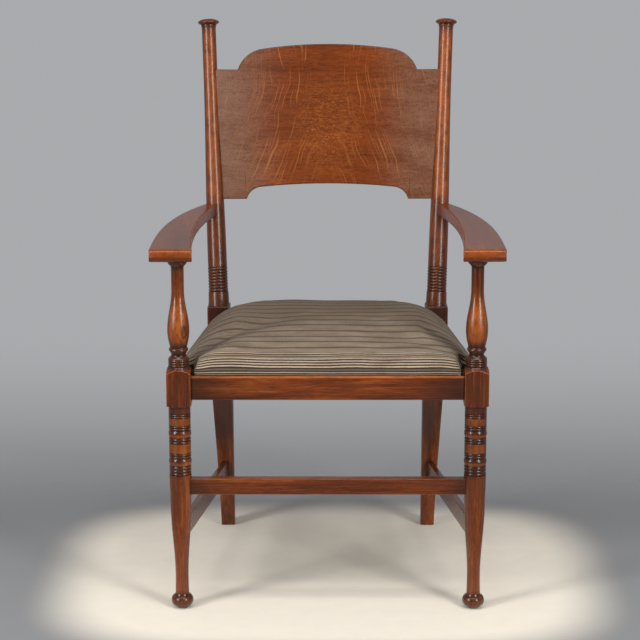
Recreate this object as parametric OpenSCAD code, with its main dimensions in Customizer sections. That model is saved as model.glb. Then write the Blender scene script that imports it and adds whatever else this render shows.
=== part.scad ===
// Open armchair in turned and polished oak, with a bowed back board and a loose upholstered seat.
// Sizes are in millimetres. The chair stands on z = 0 and faces -Y. Left is -X, as seen from the front.

/* [Overall] */
// Height from the floor to the top of the back posts
total_h = 1045; // [980:1:1110]
// Height of the top edge of the seat rails
rail_top = 445; // [425:1:470]
// Height of the top of the arms
arm_top = 681; // [660:1:705]
// Distance between the front leg centres
front_span = 539; // [510:1:580]
// Distance between the back post centres at the seat
back_span = 439; // [410:1:470]
// Distance from the front leg centres to the back post centres at the seat
seat_run = 450; // [425:1:480]
// Backward lean of the back, in degrees
lean = 8.6; // [5:0.1:11]
// Outward splay of each back post, in degrees
splay = 1.9; // [0.5:0.1:3]

/* [Front legs] */
// Width of the square block that takes the seat rails
leg_block = 44; // [42:0.5:50]
// How far the block goes below the top of the rails
leg_block_drop = 58; // [52:1:66]
// How far the block rises above the top of the rails
leg_block_rise = 14; // [8:1:20]
// Height of the turned cone on top of the block
block_cone = 3; // [1:0.5:5]
// Depth of the lathe cut that arches the top of the block
block_arch = 7; // [4:0.5:12]
// Diameter of the ringed drum under the block
drum_d = 40; // [37:0.5:44]
// Length of the ringed drum
drum_len = 130; // [110:1:135]
// Depth of the grooves beside the small rings
ring_depth = 1.3; // [0.5:0.1:2.5]
// How far the two wide rings stand out
bulb_out = 0.9; // [0:0.1:2]
// Diameter of the leg where its taper ends, above the foot
ankle_d = 24; // [20:0.5:28]
// Height over which the leg is slim, above the foot
ankle_len = 36; // [20:1:60]
// Diameter of the bun foot
bun_d = 40.6; // [34:0.2:46]
// Height of the bun foot
bun_h = 26; // [22:1:36]
// Diameter of the face that the foot stands on
tread_d = 20; // [16:0.5:30]

/* [Arm supports] */
// Diameter of the three rings above the block
base_ring_d = 38.6; // [34:0.2:44]
// Height of the rings, the cove and the collar under the belly
base_turning_h = 38; // [32:0.5:44]
// Diameter of the cove between the rings and the collar
cove_d = 26.6; // [22:0.2:30]
// Diameter of the collar under the belly
collar_d = 35.4; // [30:0.2:40]
// Diameter of the belly
belly_d = 40; // [34:0.5:44]
// Height of the belly above the block
belly_up = 68; // [60:1:80]
// Length of the shoulder from the belly to the neck
belly_run = 73; // [50:1:90]
// Diameter of the neck
neck_d = 23; // [19:0.5:28]
// Diameter of the cup under the arm
cup_d = 36.6; // [30:0.2:42]
// Height of the cup under the arm
cup_h = 14; // [8:0.5:20]
// Diameter of the pin that holds the arm
pin_d = 19; // [14:0.5:22]
// Length of the pin that holds the arm
pin_len = 14; // [8:0.5:17]

/* [Back posts] */
// Width of the square block that takes the seat rails
post_block = 45; // [42:0.5:48]
// How far the block rises above the top of the rails
post_block_rise = 33; // [24:1:40]
// Bevel round the top of the block
post_block_bevel = 3; // [1:0.5:5]
// Height above the floor at which the leg below the block starts to curve back
knee_h = 385; // [340:1:400]
// How far back the middle of the foot stands from the middle of the block
heel_back = 45; // [20:1:60]
// Width and depth of the back foot
heel_w = 27.5; // [24:0.5:34]
// How far the inner face of the foot is set in from the centre of the block
heel_in = 26; // [18:0.5:28]
// Diameter of the post just above the block
post_d = 41.6; // [38:0.2:44]
// Height of the first ring above the block
ring_start = 26; // [15:1:40]
// Number of rings
ring_count = 8; // [4:1:12]
// Distance from ring to ring
ring_pitch = 6.2; // [4.5:0.1:8]
// Diameter of the post above the rings
post_mid_d = 38.4; // [34:0.2:40]
// Diameter of the upper end of the post
post_top_d = 28; // [24:0.2:34]
// Length of the taper from the rings upwards
post_taper = 392; // [320:1:420]
// Diameter of the domed cap
cap_d = 42.6; // [34:0.2:50]
// Height of the domed cap
cap_h = 11.5; // [9:0.5:18]

/* [Back board] */
// Thickness of the board
board_t = 14; // [10:0.5:17]
// How far the middle of the board is bowed back
board_bow = 25; // [10:1:40]
// Distance from the top of the posts down to the board's upper corners, along the posts
board_drop = 101.5; // [85:0.5:115]
// Length of the board's ends, measured along the posts
board_end = 260; // [220:1:280]
// Rise of the arched top edge above its ends
crest_rise = 52; // [35:1:60]
// Rise of the cut-away lower edge above its ends
skirt_rise = 31; // [15:1:40]
// Distance from a post's centre line to the start of the arch
crest_shoulder = 55; // [35:1:80]
// Distance from a post's centre line to the start of the lower cut
skirt_shoulder = 64; // [40:1:90]
// Radius of the corners of the arch
crest_r = 62; // [45:1:70]
// Radius of the corners of the lower cut
skirt_r = 32; // [20:1:40]
// Wood left between the board's end and the post's centre line
board_stop = 5; // [2:0.5:8]

/* [Arms] */
// Thickness of the arms
arm_t = 24; // [19:0.5:26]
// Width of the arm at its front end
arm_front_w = 77.5; // [65:1:85]
// How far the arm stands out beyond the front leg centre
arm_out = 48.5; // [40:0.5:56]
// How far the arm reaches in front of the front leg centre
arm_nose = 37; // [28:1:46]
// Width of the arm where it meets the post
arm_back_w = 23; // [17:0.5:27]
// Radius of the long edges
arm_edge_r = 3; // [1:0.5:6]
// Radius of the front end, seen from the side
arm_nose_r = 10; // [4:0.5:11]
// Diameter of the dowel between arm and post
dowel_d = 9; // [7:0.5:11]
// Length of the dowel
dowel_len = 38; // [28:1:44]

/* [Seat rails] */
// Height of the seat rails
rail_h = 44; // [38:1:50]
// Thickness of the seat rails
rail_t = 24; // [20:0.5:28]
// How far the front and back rails stand back from the faces of the blocks
rail_set = 4; // [2:0.5:7]
// How far the side rails stand back from the outer faces of the blocks
side_set = 8; // [4:0.5:10]
// Thickness of the lip that is left round the loose seat
lip_t = 5; // [4:0.5:8]
// Depth of the rebate that the loose seat rests in
rebate_d = 14; // [10:0.5:18]
// Thickness of the rail tenons
tenon_t = 9; // [7:0.5:11]
// Length of the rail tenons
tenon_len = 19; // [14:0.5:20]
// Shoulder above and below each tenon
tenon_shoulder = 7; // [4:0.5:10]
// Thickness of the corner braces
brace_t = 20; // [14:1:24]
// Length of a corner brace along the rails
brace_leg = 62; // [45:1:80]
// Diameter of the brace screws
screw_d = 4.5; // [3.5:0.5:6]
// Length of the brace screws
screw_len = 38; // [28:1:44]

/* [Stretchers] */
// Height of the middle of the front stretcher
front_bar_mid = 234.5; // [228:0.5:241]
// Height of the front stretcher's face
front_bar_h = 30; // [24:0.5:36]
// Thickness of the front stretcher
front_bar_t = 18; // [14:0.5:22]
// How deep the front stretcher is let into the legs
front_bar_in = 16; // [10:0.5:18]
// Height of the middle of the side stretchers at the front leg
side_bar_front = 146.5; // [135:0.5:175]
// Height of the middle of the side stretchers at the back leg
side_bar_back = 130; // [120:0.5:170]
// Height of the side stretchers' faces
side_bar_h = 35; // [28:0.5:38]
// Thickness of the side stretchers
side_bar_t = 13; // [10:0.5:16]
// How deep the side stretchers are let into the legs
side_bar_in = 12; // [8:0.5:14]

/* [Loose seat] */
// Thickness of the seat frame
frame_t = 20; // [16:0.5:24]
// Width of the seat frame's front and back members
frame_end_w = 60; // [50:1:70]
// Width of the seat frame's side members
frame_side_w = 55; // [45:1:65]
// Thickness of the striped cover
cover_t = 1.5; // [1:0.1:2]
// Gap between the covered seat and the lip of the rails
seat_gap = 1.5; // [1:0.1:3]
// Gap between the covered seat and the leg blocks
corner_gap = 6; // [3:0.5:8]
// Height of the top of the crown above the seat rails
crown_h = 65; // [50:1:80]
// Share of the crown's height that the upright front wall reaches
front_wall = 0.62; // [0.4:0.01:0.8]
// How far the front wall swells over the lip
front_swell = 5; // [0:0.5:6]
// Width of the rounded sides of the cushion
side_round = 100; // [60:1:140]
// Length over which the cushion falls towards the back
back_round = 200; // [120:1:230]
// Width of the webbing
web_w = 50; // [40:1:60]
// Thickness of the webbing
web_t = 1.3; // [1:0.1:2]
// Number of straps in each direction
web_count = 4; // [2:1:5]
// Thickness of the hessian over the webbing
hessian_t = 0.8; // [0.5:0.1:1.5]
// Thickness of the black bottom cloth
under_t = 0.8; // [0.5:0.1:1.5]
// Diameter of the tack heads
tack_head_d = 9; // [6:0.5:12]
// Diameter of the tack shanks
tack_d = 2; // [1.5:0.1:3]
// Length of the tack shanks
tack_len = 9; // [6:0.5:12]
// Number of tacks along each edge
tack_count = 6; // [3:1:9]

/* [Fits] */
// Glue gap round tenons, dowels, housings and screws
glue_gap = 0.1; // [0.05:0.01:0.2]

/* [Hidden] */
$fn = 64;
oak = "#6b2f17";
oak_light = "#8a4420";
oak_dark = "#4a2014";
beech = "#b98d5c";
cloth = "#a99d8a";
jute = "#8d7a58";
wadding = "#6f5a3e";
steel = "#8f8a80";

// Places that the pieces share
half_front = front_span / 2;
half_back = back_span / 2;
leg_half = leg_block / 2;
post_half = post_block / 2;
block_top = rail_top + leg_block_rise;
block_low = rail_top - leg_block_drop;
post_base = rail_top + post_block_rise;
post_len = (total_h - post_base) / (cos(lean) * cos(splay));
arm_under = arm_top - arm_t;
rail_low = rail_top - rail_h;
ledge = rail_top - rebate_d;

// The chair is centred on its own depth: arm noses in front, caps or the board's crest behind
cap_edge = 4;
board_up = post_len - board_drop - board_end;
cap_back = (post_len - cap_h + cap_edge) * cos(splay) * sin(lean) + cap_d / 2 * cos(lean);
board_back = (board_up + board_end + crest_rise) * sin(lean) + (board_bow + board_t / 2) * cos(lean);
front_y = (arm_nose - seat_run - max(cap_back, board_back)) / 2;
back_y = front_y + seat_run;

// Line of the side rails, from front leg centre to post centre
side_angle = atan((half_front - half_back) / seat_run);
function side_x(y, off) = half_front - (y - front_y) * tan(side_angle) + off / cos(side_angle);

// Centre of a post at height z
function post_up(z) = (z - post_base) / cos(lean);
function post_x(z) = half_back + post_up(z) * tan(splay);
function post_y(z) = back_y + post_up(z) * sin(lean);

// Turned outlines are lists of [radius, height] that run downwards
function ease(ra, rb, za, zb, n = 9) =
    [for (i = [0:n]) [ra + (rb - ra) * (1 - cos(180 * i / n)) / 2, za + (zb - za) * i / n]];
function bulge(r, out, za, zb, n = 8) =
    [for (i = [0:n]) [r + out * sin(180 * i / n), za + (zb - za) * i / n]];
function rings(r, depth, za, zb, count, n = 4) =
    [for (k = [0:count - 1]) for (i = [0:n])
        [r - depth + depth * sin(180 * i / n), za + (zb - za) * (k + i / n) / count]];
// A swelling that runs down from its full radius rb at zb to ra at za, steepest at the foot
function waist(rb, ra, zb, za, n = 6) =
    [for (i = [0:n]) [ra + (rb - ra) * cos(90 * i / n), zb + (za - zb) * i / n]];
// A quarter of an ellipse from [ra, za] to [rb, zb], level at the start and upright at the end
function dome(ra, rb, za, zb, n = 6) =
    [for (i = [0:n]) [ra + (rb - ra) * sin(90 * i / n), zb + (za - zb) * cos(90 * i / n)]];
// An arc of a circle in the plane
function arc(c, r, a, b, n = 10) =
    [for (i = [0:n]) c + r * [cos(a + (b - a) * i / n), sin(a + (b - a) * i / n)]];
function reversed(points) = [for (i = [len(points) - 1:-1:0]) points[i]];
function mirrored(points) = [for (p = points) [-p[0], p[1]]];
function total(v, n) = n == 0 ? 0 : v[n - 1][1] + total(v, n - 1);

// Fixed proportions of the turned outlines
collar_h = 14;
cove_h = 8.5;
drum_ease = 60;
bun_widest = 0.5;
ring_gap = 12;
// The drum's sections from the top down: [number of rings, share of length], 0 is plain, -1 a bulb
drum = [[0, 13.4], [2, 8.4], [0, 13.8], [2, 8.6], [-1, 15.2], [2, 10.5], [0, 17.8], [2, 9.3],
    [-1, 15.2], [3, 17.8]];
drum_low = block_low - drum_len;
function drum_z(i) = block_low - drum_len * total(drum, i) / total(drum, len(drum));
function drum_part(n, za, zb, r) =
    n > 0 ? rings(r + 0.3, ring_depth, za, zb, n)
    : n < 0 ? bulge(r - ring_depth / 2, ring_depth / 2 + bulb_out, za - 0.5, zb + 0.5)
    : [[r, za - 0.4], [r, zb + 0.4]];
drum_outline = [for (i = [0:len(drum) - 1])
    each drum_part(drum[i][0], drum_z(i), drum_z(i + 1), drum_d / 2)];

module side(s) {
    if (s < 0) mirror([1, 0, 0]) children();
    else children();
}

// A lathe turning from an outline that runs downwards
module turn(outline) {
    rotate_extrude() polygon(concat([[0, outline[0][1]]], outline, [[0, outline[len(outline) - 1][1]]]));
}

// A box between two opposite corners
module box(a, b) {
    translate(a) cube(b - a);
}

// Front leg with foot, taper, ringed drum, square block and arm support, turned from one piece
module leg_turning() {
    belly_z = block_top + belly_up;
    neck_z = belly_z + belly_run;
    top_z = block_top + base_turning_h;
    collar_z = top_z - collar_h;
    disc_z = collar_z - cove_h;
    taper_z = drum_low - drum_ease;
    r = drum_d / 2;
    turn(concat(
        [[pin_d / 2, arm_under + pin_len], [pin_d / 2, arm_under]],
        [[cup_d / 2, arm_under], [cup_d / 2, arm_under - cup_h * 0.3]],
        ease(cup_d / 2 - 1, neck_d / 2, arm_under - cup_h * 0.4, arm_under - cup_h, 5),
        ease(neck_d / 2, belly_d / 2, neck_z, belly_z, 14),
        waist(belly_d / 2, collar_d / 2 - 2.2, belly_z - 1, top_z),
        bulge(collar_d / 2 - 2.6, 2.6, top_z - 1, collar_z + 4, 8),
        ease(collar_d / 2 - 2.6, cove_d / 2, collar_z + 4, collar_z, 4),
        ease(cove_d / 2, base_ring_d / 2 - 0.6, collar_z - 1.5, disc_z, 5),
        rings(base_ring_d / 2, 1.1, disc_z, block_top + 2, 3),
        [[base_ring_d / 2, block_top + 1], [leg_half, block_top - block_cone], [leg_half, block_low],
            [r, block_low]],
        drum_outline,
        ease(r + 0.4, r - 1, drum_low, taper_z, 4),
        ease(r - 1.1, ankle_d / 2, taper_z - 1, bun_h + ankle_len, 12),
        [[ankle_d / 2 + 0.5, bun_h + 2], [ankle_d / 2 + 1.6, bun_h], [ankle_d / 2 + 2.4, bun_h - 1.4]],
        dome(ankle_d / 2 + 2.2, bun_d / 2, bun_h - 2, bun_h * (bun_widest + 0.07), 7),
        [[bun_d / 2, bun_h * (bun_widest + 0.03)]],
        waist(bun_d / 2, tread_d / 2, bun_h * bun_widest, 0, 8)
    ));
}

// The square block, with its top and bottom arched by the lathe
module leg_square() {
    far = leg_half * sqrt(2) + 0.5;
    intersection() {
        box([-leg_half, -leg_half, block_low], [leg_half, leg_half, block_top - block_cone]);
        turn([[leg_half, block_top - block_cone], [far, block_top - block_cone - block_arch],
            [far, block_low + 2.5], [leg_half, block_low]]);
    }
}

module front_leg() {
    difference() {
        translate([half_front, front_y, 0]) {
            leg_turning();
            leg_square();
        }
        front_rail_tenons(glue_gap);
        side_rail_tenons(glue_gap);
        front_bar(glue_gap);
        side_bar(glue_gap);
    }
}

// Back post and back leg from one piece. Its upper part is turned and leans with the back
module at_post() {
    translate([half_back, back_y, post_base]) rotate([-lean, 0, 0]) rotate([0, splay, 0]) children();
}

module post_turning() {
    ring_end = ring_start + ring_count * ring_pitch;
    taper_z = ring_end + ring_gap;
    cap_z = post_len - cap_h;
    at_post() turn(concat(
        dome(0.5, cap_d / 2, post_len, cap_z + cap_edge, 8),
        [[cap_d / 2 - 0.6, cap_z + 2.6], [cap_d / 2 - 3, cap_z + 0.8], [post_top_d / 2 + 2, cap_z]],
        ease(post_top_d / 2 + 1.4, post_top_d / 2, cap_z - 0.5, cap_z - 9, 5),
        ease(post_top_d / 2, post_mid_d / 2, taper_z + post_taper, taper_z, 16),
        [[post_mid_d / 2, ring_end + 0.5]],
        rings(post_mid_d / 2 + 0.6, ring_depth, ring_end, ring_start, ring_count),
        [[post_d / 2 - 0.6, ring_start - 0.5], [post_d / 2, 4], [post_d / 2, -10]]
    ));
}

// The back leg narrows outside along one power curve and bends back along another
leg_flare = 1.35;
leg_bend = 1.6;
inner_taper = 70;
// Outer edge of the back leg at height z, from the block's centre line
function back_leg_out(z) = heel_w - heel_in + (post_half - heel_w + heel_in) * pow(z / rail_low, leg_flare);

// The leg below the seat, as a front outline and a side outline that cross
module post_leg() {
    steps = 12;
    foot_back = heel_back + heel_w / 2;
    foot_front = heel_back - heel_w / 2;
    top = post_base - post_block_bevel;
    bend = [for (i = [0:steps]) [knee_h * (1 - i / steps), pow(i / steps, leg_bend)]];
    intersection() {
        translate([half_back, back_y, 0]) rotate([90, 0, 0])
            linear_extrude(2 * foot_back + post_block, center = true) polygon(concat(
                [[-heel_in, 0]],
                [for (i = [0:8]) [back_leg_out(rail_low * i / 8), rail_low * i / 8]],
                [[post_half, top], [post_half - post_block_bevel, post_base],
                    [post_block_bevel - post_half, post_base],
                    [-post_half, top], [-post_half, rail_low], [-heel_in, rail_low - inner_taper]]));
        translate([0, back_y, 0]) rotate([90, 0, 90]) linear_extrude(front_span)
            polygon(concat(
                [[-post_half, top], [post_block_bevel - post_half, post_base],
                    [post_half - post_block_bevel, post_base], [post_half, top]],
                [for (p = bend) [post_half + (foot_back - post_half) * p[1], p[0]]],
                [for (i = [steps:-1:0]) [-post_half + (foot_front + post_half) * bend[i][1], bend[i][0]]]
            ));
    }
}

module back_post() {
    difference() {
        union() {
            post_leg();
            post_turning();
        }
        back_rail_tenons(glue_gap);
        side_rail_tenons(glue_gap);
        side_bar(glue_gap);
        board(glue_gap);
        arm_dowel(glue_gap);
    }
}

// One side of the board's edge: an arc of radius r from the corner [x, z], then a flat arch that
// ends at the middle of the board, rise above the corner
crest_start = 162;
skirt_start = 166;
arc_end = 97;
function arch(x, z, r, a, rise) =
    let (c = [x - r * cos(a), z - r * sin(a)], e = c + r * [cos(arc_end), sin(arc_end)])
    concat(arc(c, r, a, arc_end, 8), [for (i = [1:5])
        [e[0] * (1 - i / 6), e[1] + (z + rise - e[1]) * (1 - pow(1 - i / 6, 2))]]);

// Bowed back board, with an arched top edge, a cut-away lower edge and ends let into the posts
module board(grow = 0) {
    low = board_up;
    high = low + board_end;
    at_low = half_back + low * tan(splay);
    at_high = half_back + high * tan(splay);
    crest = arch(crest_shoulder - at_high, high, crest_r, crest_start, crest_rise);
    skirt = arch(skirt_shoulder - at_low, low, skirt_r, skirt_start, skirt_rise);
    ends = [[at_high - board_stop + grow, high + grow], [at_low - board_stop + grow, low - grow]];
    bow_r = (pow(half_back, 2) + pow(board_bow, 2)) / (2 * board_bow);
    thick = board_t / 2 + grow;
    translate([0, back_y, post_base]) rotate([-lean, 0, 0]) intersection() {
        rotate([90, 0, 0]) linear_extrude(4 * (board_bow + board_t), center = true)
            polygon(concat([[-ends[0][0], ends[0][1]], [crest[0][0], high + grow]], crest,
                [[0, high + crest_rise]], reversed(mirrored(crest)), [[-crest[0][0], high + grow]],
                ends, [[-skirt[0][0], low - grow]], mirrored(skirt), [[0, low + skirt_rise]],
                reversed(skirt), [[skirt[0][0], low - grow], [-ends[1][0], ends[1][1]]]));
        translate([0, board_bow - bow_r, low - 1]) difference() {
            cylinder(h = board_end + crest_rise + 2, r = bow_r + thick, $fn = 720);
            translate([0, 0, -1]) cylinder(h = board_end + crest_rise + 4, r = bow_r - thick, $fn = 720);
        }
    }
}

// Arms: a plan that sweeps in to the post, with rounded edges
arm_mid = arm_top - arm_t / 2;
arm_end_out = 5;
arm_end_front = 7;
arm_knots = [0.267, 0.667];
outer_bow = [-0.5, 1];
inner_sweep = [14, 22];
nose_pinch = 0.15;
nose_round = 0.8;
arm_end = [post_x(arm_mid) + arm_end_out, post_y(arm_mid) - arm_end_front];
arm_side = half_front + arm_out;
arm_y = concat(front_y - arm_nose, [for (k = arm_knots) front_y + k * seat_run], arm_end[1]);
arm_outer = concat(arm_side, [for (b = outer_bow) arm_side + b], arm_end[0] + arm_back_w / 2);
arm_inner = concat(arm_side - arm_front_w, [for (b = inner_sweep) arm_side - arm_front_w + b],
    arm_end[0] - arm_back_w / 2);
function bezier(p, t) = p[0] * pow(1 - t, 3) + 3 * p[1] * pow(1 - t, 2) * t + 3 * p[2] * (1 - t) * t * t
    + p[3] * pow(t, 3);
// A rounded rectangle across the arm at t, with its top and bottom drawn in by inset
function arm_ring(t, y, inset) =
    let (r = arm_edge_r, z1 = arm_top - inset, z0 = arm_under + inset,
        x1 = bezier(arm_outer, t) - inset * nose_pinch, x0 = bezier(arm_inner, t) + inset * nose_pinch)
    [for (q = [[x1 - r, z1 - r, 0], [x0 + r, z1 - r, 90], [x0 + r, z0 + r, 180], [x1 - r, z0 + r, 270]])
        for (a = [0:30:90]) [q[0] + r * cos(q[2] + a), y, q[1] + r * sin(q[2] + a)]];
arm_steps = 22;
arm_rings = concat(
    [for (a = [0:18:90]) let (d = arm_nose_r * (1 - cos(a)))
        arm_ring(d / (3 * (arm_y[1] - arm_y[0])), arm_y[0] + d, arm_nose_r * (1 - sin(a)) * nose_round)],
    [for (i = [1:arm_steps]) let (t = i / arm_steps) arm_ring(t, bezier(arm_y, t), 0)]
);

// A closed skin over rings of n points each
function skin_faces(m, n) = [for (j = [0:m - 2]) for (i = [0:n - 1])
    each [[j * n + i, j * n + (i + 1) % n, (j + 1) * n + i],
        [j * n + (i + 1) % n, (j + 1) * n + (i + 1) % n, (j + 1) * n + i]]];

module arm_body() {
    n = len(arm_rings[0]);
    m = len(arm_rings);
    polyhedron([for (r = arm_rings) each r], concat(
        [for (f = skin_faces(m, n)) f],
        [[for (i = [n - 1:-1:0]) i]],
        [[for (i = [0:n - 1]) (m - 1) * n + i]]
    ));
}

dowel_front = 8;
module arm_dowel(grow = 0) {
    run = [arm_end[0] - (arm_outer[2] + arm_inner[2]) / 2, arm_end[1] - arm_y[2]];
    translate([arm_end[0], arm_end[1] - dowel_front, arm_mid]) rotate([-90, 0, -atan2(run[0], run[1])])
        translate([0, 0, -dowel_len / 2 - grow]) cylinder(h = dowel_len + 2 * grow, r = dowel_d / 2 + grow);
}

// Radius of the post where the arm meets it
arm_taper = (post_up(arm_mid) - ring_start - ring_count * ring_pitch - ring_gap) / post_taper;
arm_post_r = post_mid_d / 2 - (post_mid_d - post_top_d) / 2 * (1 - cos(180 * arm_taper)) / 2;

module arm() {
    difference() {
        arm_body();
        translate([half_front, front_y, arm_under - 1])
            cylinder(h = pin_len + 1 + glue_gap, r = pin_d / 2 + glue_gap);
        at_post() translate([0, 0, post_up(arm_mid) - 2 * arm_t])
            cylinder(h = 4 * arm_t, r = arm_post_r + glue_gap);
        arm_dowel(glue_gap);
    }
}

// Seat rails: each has a rebate inside its lip, and tenons in the blocks
front_face = front_y - leg_half + rail_set;
back_face = back_y + post_half - rail_set;
side_face = leg_half - side_set;
front_stop = half_front - leg_half;
back_stop = half_back - post_half;
side_front = front_y + leg_half;
side_back = back_y - post_half;
tenon_z = [rail_low + tenon_shoulder, ledge];

module front_rail_tenons(grow = 0) {
    mid = front_face + rail_t / 2;
    for (s = [-1, 1]) side(s)
        box([front_stop - 1, mid - tenon_t / 2 - grow, tenon_z[0] - grow],
            [front_stop + tenon_len + grow, mid + tenon_t / 2 + grow, tenon_z[1] + grow]);
}

module back_rail_tenons(grow = 0) {
    mid = back_face - rail_t / 2;
    for (s = [-1, 1]) side(s)
        box([back_stop - 1, mid - tenon_t / 2 - grow, tenon_z[0] - grow],
            [back_stop + tenon_len + grow, mid + tenon_t / 2 + grow, tenon_z[1] + grow]);
}

// A strip along the side of the seat between two depths, out to one line and in to another
module side_strip(ya, yb, outer, inner, z) {
    translate([0, 0, z[0]]) linear_extrude(z[1] - z[0])
        polygon([[side_x(ya, outer), ya], [side_x(yb, outer), yb], [side_x(yb, inner), yb],
            [side_x(ya, inner), ya]]);
}

module side_rail_tenons(grow = 0) {
    mid = side_face - rail_t / 2;
    side_strip(side_front - tenon_len - grow, side_back + tenon_len + grow,
        mid + tenon_t / 2 + grow, mid - tenon_t / 2 - grow, [tenon_z[0] - grow, tenon_z[1] + grow]);
}

module front_rail() {
    color(oak_light) difference() {
        union() {
            box([-front_stop, front_face, rail_low], [front_stop, front_face + rail_t, rail_top]);
            front_rail_tenons();
        }
        box([-front_span, front_face + lip_t, ledge], [front_span, front_face + rail_t + 1, rail_top + 1]);
        brace_screws_of([-1, 1], glue_gap);
    }
}

module back_rail() {
    color(oak) difference() {
        union() {
            box([-back_stop, back_face - rail_t, rail_low], [back_stop, back_face, rail_top]);
            back_rail_tenons();
        }
        box([-back_span, back_face - rail_t - 1, ledge], [back_span, back_face - lip_t, rail_top + 1]);
        brace_screws_of([-1, 1], glue_gap);
    }
}

module side_rail() {
    difference() {
        union() {
            side_strip(side_front, side_back, side_face, side_face - rail_t, [rail_low, rail_top]);
            side_rail_tenons();
        }
        side_strip(side_front - leg_block, side_back + post_block, side_face - lip_t,
            side_face - rail_t - 1, [ledge, rail_top + 1]);
        brace_screws_of([1], glue_gap);
    }
}

// Corner braces under the loose seat, cut round the blocks and screwed to the rails
brace_up = 2;
brace_z = [rail_low + brace_up, rail_low + brace_up + brace_t];
module brace_plan(stop, block_y, inner_y, dir) {
    near = block_y + dir * glue_gap;
    far = block_y + dir * brace_leg;
    polygon([[stop - brace_leg, inner_y], [stop - glue_gap, inner_y], [stop - glue_gap, near],
        [side_x(near, side_face - rail_t), near], [side_x(far, side_face - rail_t), far]]);
}

module front_brace() {
    difference() {
        translate([0, 0, brace_z[0]]) linear_extrude(brace_t)
            brace_plan(front_stop, side_front, front_face + rail_t, 1);
        brace_screws_of([1], glue_gap);
    }
}

module back_brace() {
    difference() {
        translate([0, 0, brace_z[0]]) linear_extrude(brace_t)
            brace_plan(back_stop, side_back, back_face - rail_t, -1);
        brace_screws_of([1], glue_gap);
    }
}

// Each screw runs along +X from its head in the brace to its point in the rail
screw_bite = 14;
screw_along = 0.35;
screw_heights = [0.26, 0.74];
screw_head_h = 3;
screw_head = 0.9;
function screw_places() =
    let (d = brace_leg * screw_along, low = brace_z[0] + brace_t * screw_heights[0],
        high = brace_z[0] + brace_t * screw_heights[1], in = side_face - rail_t)
    [[[front_stop - d, front_face + rail_t, low], -90],
        [[side_x(side_front + d, in), side_front + d, high], 0],
        [[back_stop - d, back_face - rail_t, low], 90],
        [[side_x(side_back - d, in), side_back - d, high], 0]];

module brace_screw(grow) {
    // Its hole runs on behind the head
    behind = grow > 0 ? brace_leg : 0;
    translate([0, 0, screw_bite - screw_len]) cylinder(h = screw_len + grow, r = screw_d / 2 + grow, $fn = 24);
    translate([0, 0, screw_bite - screw_len - behind])
        cylinder(h = screw_head_h + grow + behind, r = screw_d * screw_head + grow, $fn = 24);
}

module brace_screws_of(sides, grow = 0) {
    for (s = sides) side(s) for (p = screw_places())
        translate(p[0]) rotate([0, 0, p[1]]) rotate([0, 90, 0]) brace_screw(grow);
}

// Stretchers
module front_bar(grow = 0) {
    end = half_front - drum_d / 2 + front_bar_in + grow;
    box([-end, front_y - front_bar_t / 2 - grow, front_bar_mid - front_bar_h / 2 - grow],
        [end, front_y + front_bar_t / 2 + grow, front_bar_mid + front_bar_h / 2 + grow]);
}

function back_leg_x(z) = half_back + (back_leg_out(z) - heel_in) / 2;
function back_leg_y(z) = back_y - post_half + (heel_back - heel_w / 2 + post_half)
    * pow(1 - z / knee_h, leg_bend);

module side_bar(grow = 0) {
    from = [half_front, front_y, side_bar_front];
    run = [back_leg_x(side_bar_back), back_leg_y(side_bar_back), side_bar_back] - from;
    flat = norm([run[0], run[1]]);
    translate(from) rotate([atan2(run[2], flat), 0, -atan2(run[0], run[1])])
        box([-side_bar_t / 2 - grow, drum_d / 2 - 3 - side_bar_in - grow, -side_bar_h / 2 - grow],
            [side_bar_t / 2 + grow, norm(run) + side_bar_in + grow, side_bar_h / 2 + grow]);
}

// Loose seat: outline of its wooden frame, right half, from the front to the back
seat_lip = lip_t + seat_gap + cover_t;
seat_block = corner_gap + cover_t;
frame_x = front_stop - seat_block;
frame_back_x = back_stop - seat_block;
frame_front = front_face + seat_lip;
frame_back = back_face - seat_lip;
frame_side = side_face - seat_lip;
notch_front = side_front + seat_block;
notch_back = side_back - seat_block;
frame_top = ledge + frame_t;
web_top = frame_top + 2 * web_t;
pad_low = web_top + hessian_t;
seat_mid = [0, (frame_front + frame_back) / 2];

function seat_half(off) = [
    [frame_x + off, frame_front - off], [frame_x + off, notch_front - off],
    [side_x(notch_front - off, frame_side + off), notch_front - off],
    [side_x(notch_back + off, frame_side + off), notch_back + off],
    [frame_back_x + off, notch_back + off], [frame_back_x + off, frame_back + off]];
function seat_outline(off) = concat(seat_half(off), reversed(mirrored(seat_half(off))));

module seat_plan(off) {
    polygon(seat_outline(off));
}

module end_member_plan(back, grow = 0) {
    y = back ? [frame_back - frame_end_w - grow, frame_back]
        : [frame_front, frame_front + frame_end_w + grow];
    x = back ? frame_back_x : frame_x;
    translate([-x, y[0]]) square([2 * x, y[1] - y[0]]);
}

// The members are lapped at the corners: the side members lie over the end members
module side_member_plan() {
    in = frame_side - frame_side_w;
    for (s = [-1, 1]) side(s)
        polygon([[side_x(notch_front, frame_side), notch_front], [side_x(notch_back, frame_side), notch_back],
            [side_x(notch_back, in), notch_back], [side_x(notch_front, in), notch_front]]);
}

module end_member(back) {
    difference() {
        translate([0, 0, ledge]) linear_extrude(frame_t) end_member_plan(back);
        translate([0, 0, ledge + frame_t / 2]) linear_extrude(frame_t) offset(delta = glue_gap)
            side_member_plan();
        cloth_tacks_of(glue_gap);
    }
}

module side_member() {
    difference() {
        translate([0, 0, ledge]) linear_extrude(frame_t) intersection() {
            side_member_plan();
            translate([0, -front_span]) square(2 * front_span);
        }
        for (back = [false, true])
            translate([0, 0, ledge - 1]) linear_extrude(frame_t / 2 + 1 + glue_gap)
                end_member_plan(back, glue_gap);
        cloth_tacks_of(glue_gap);
    }
}

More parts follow.
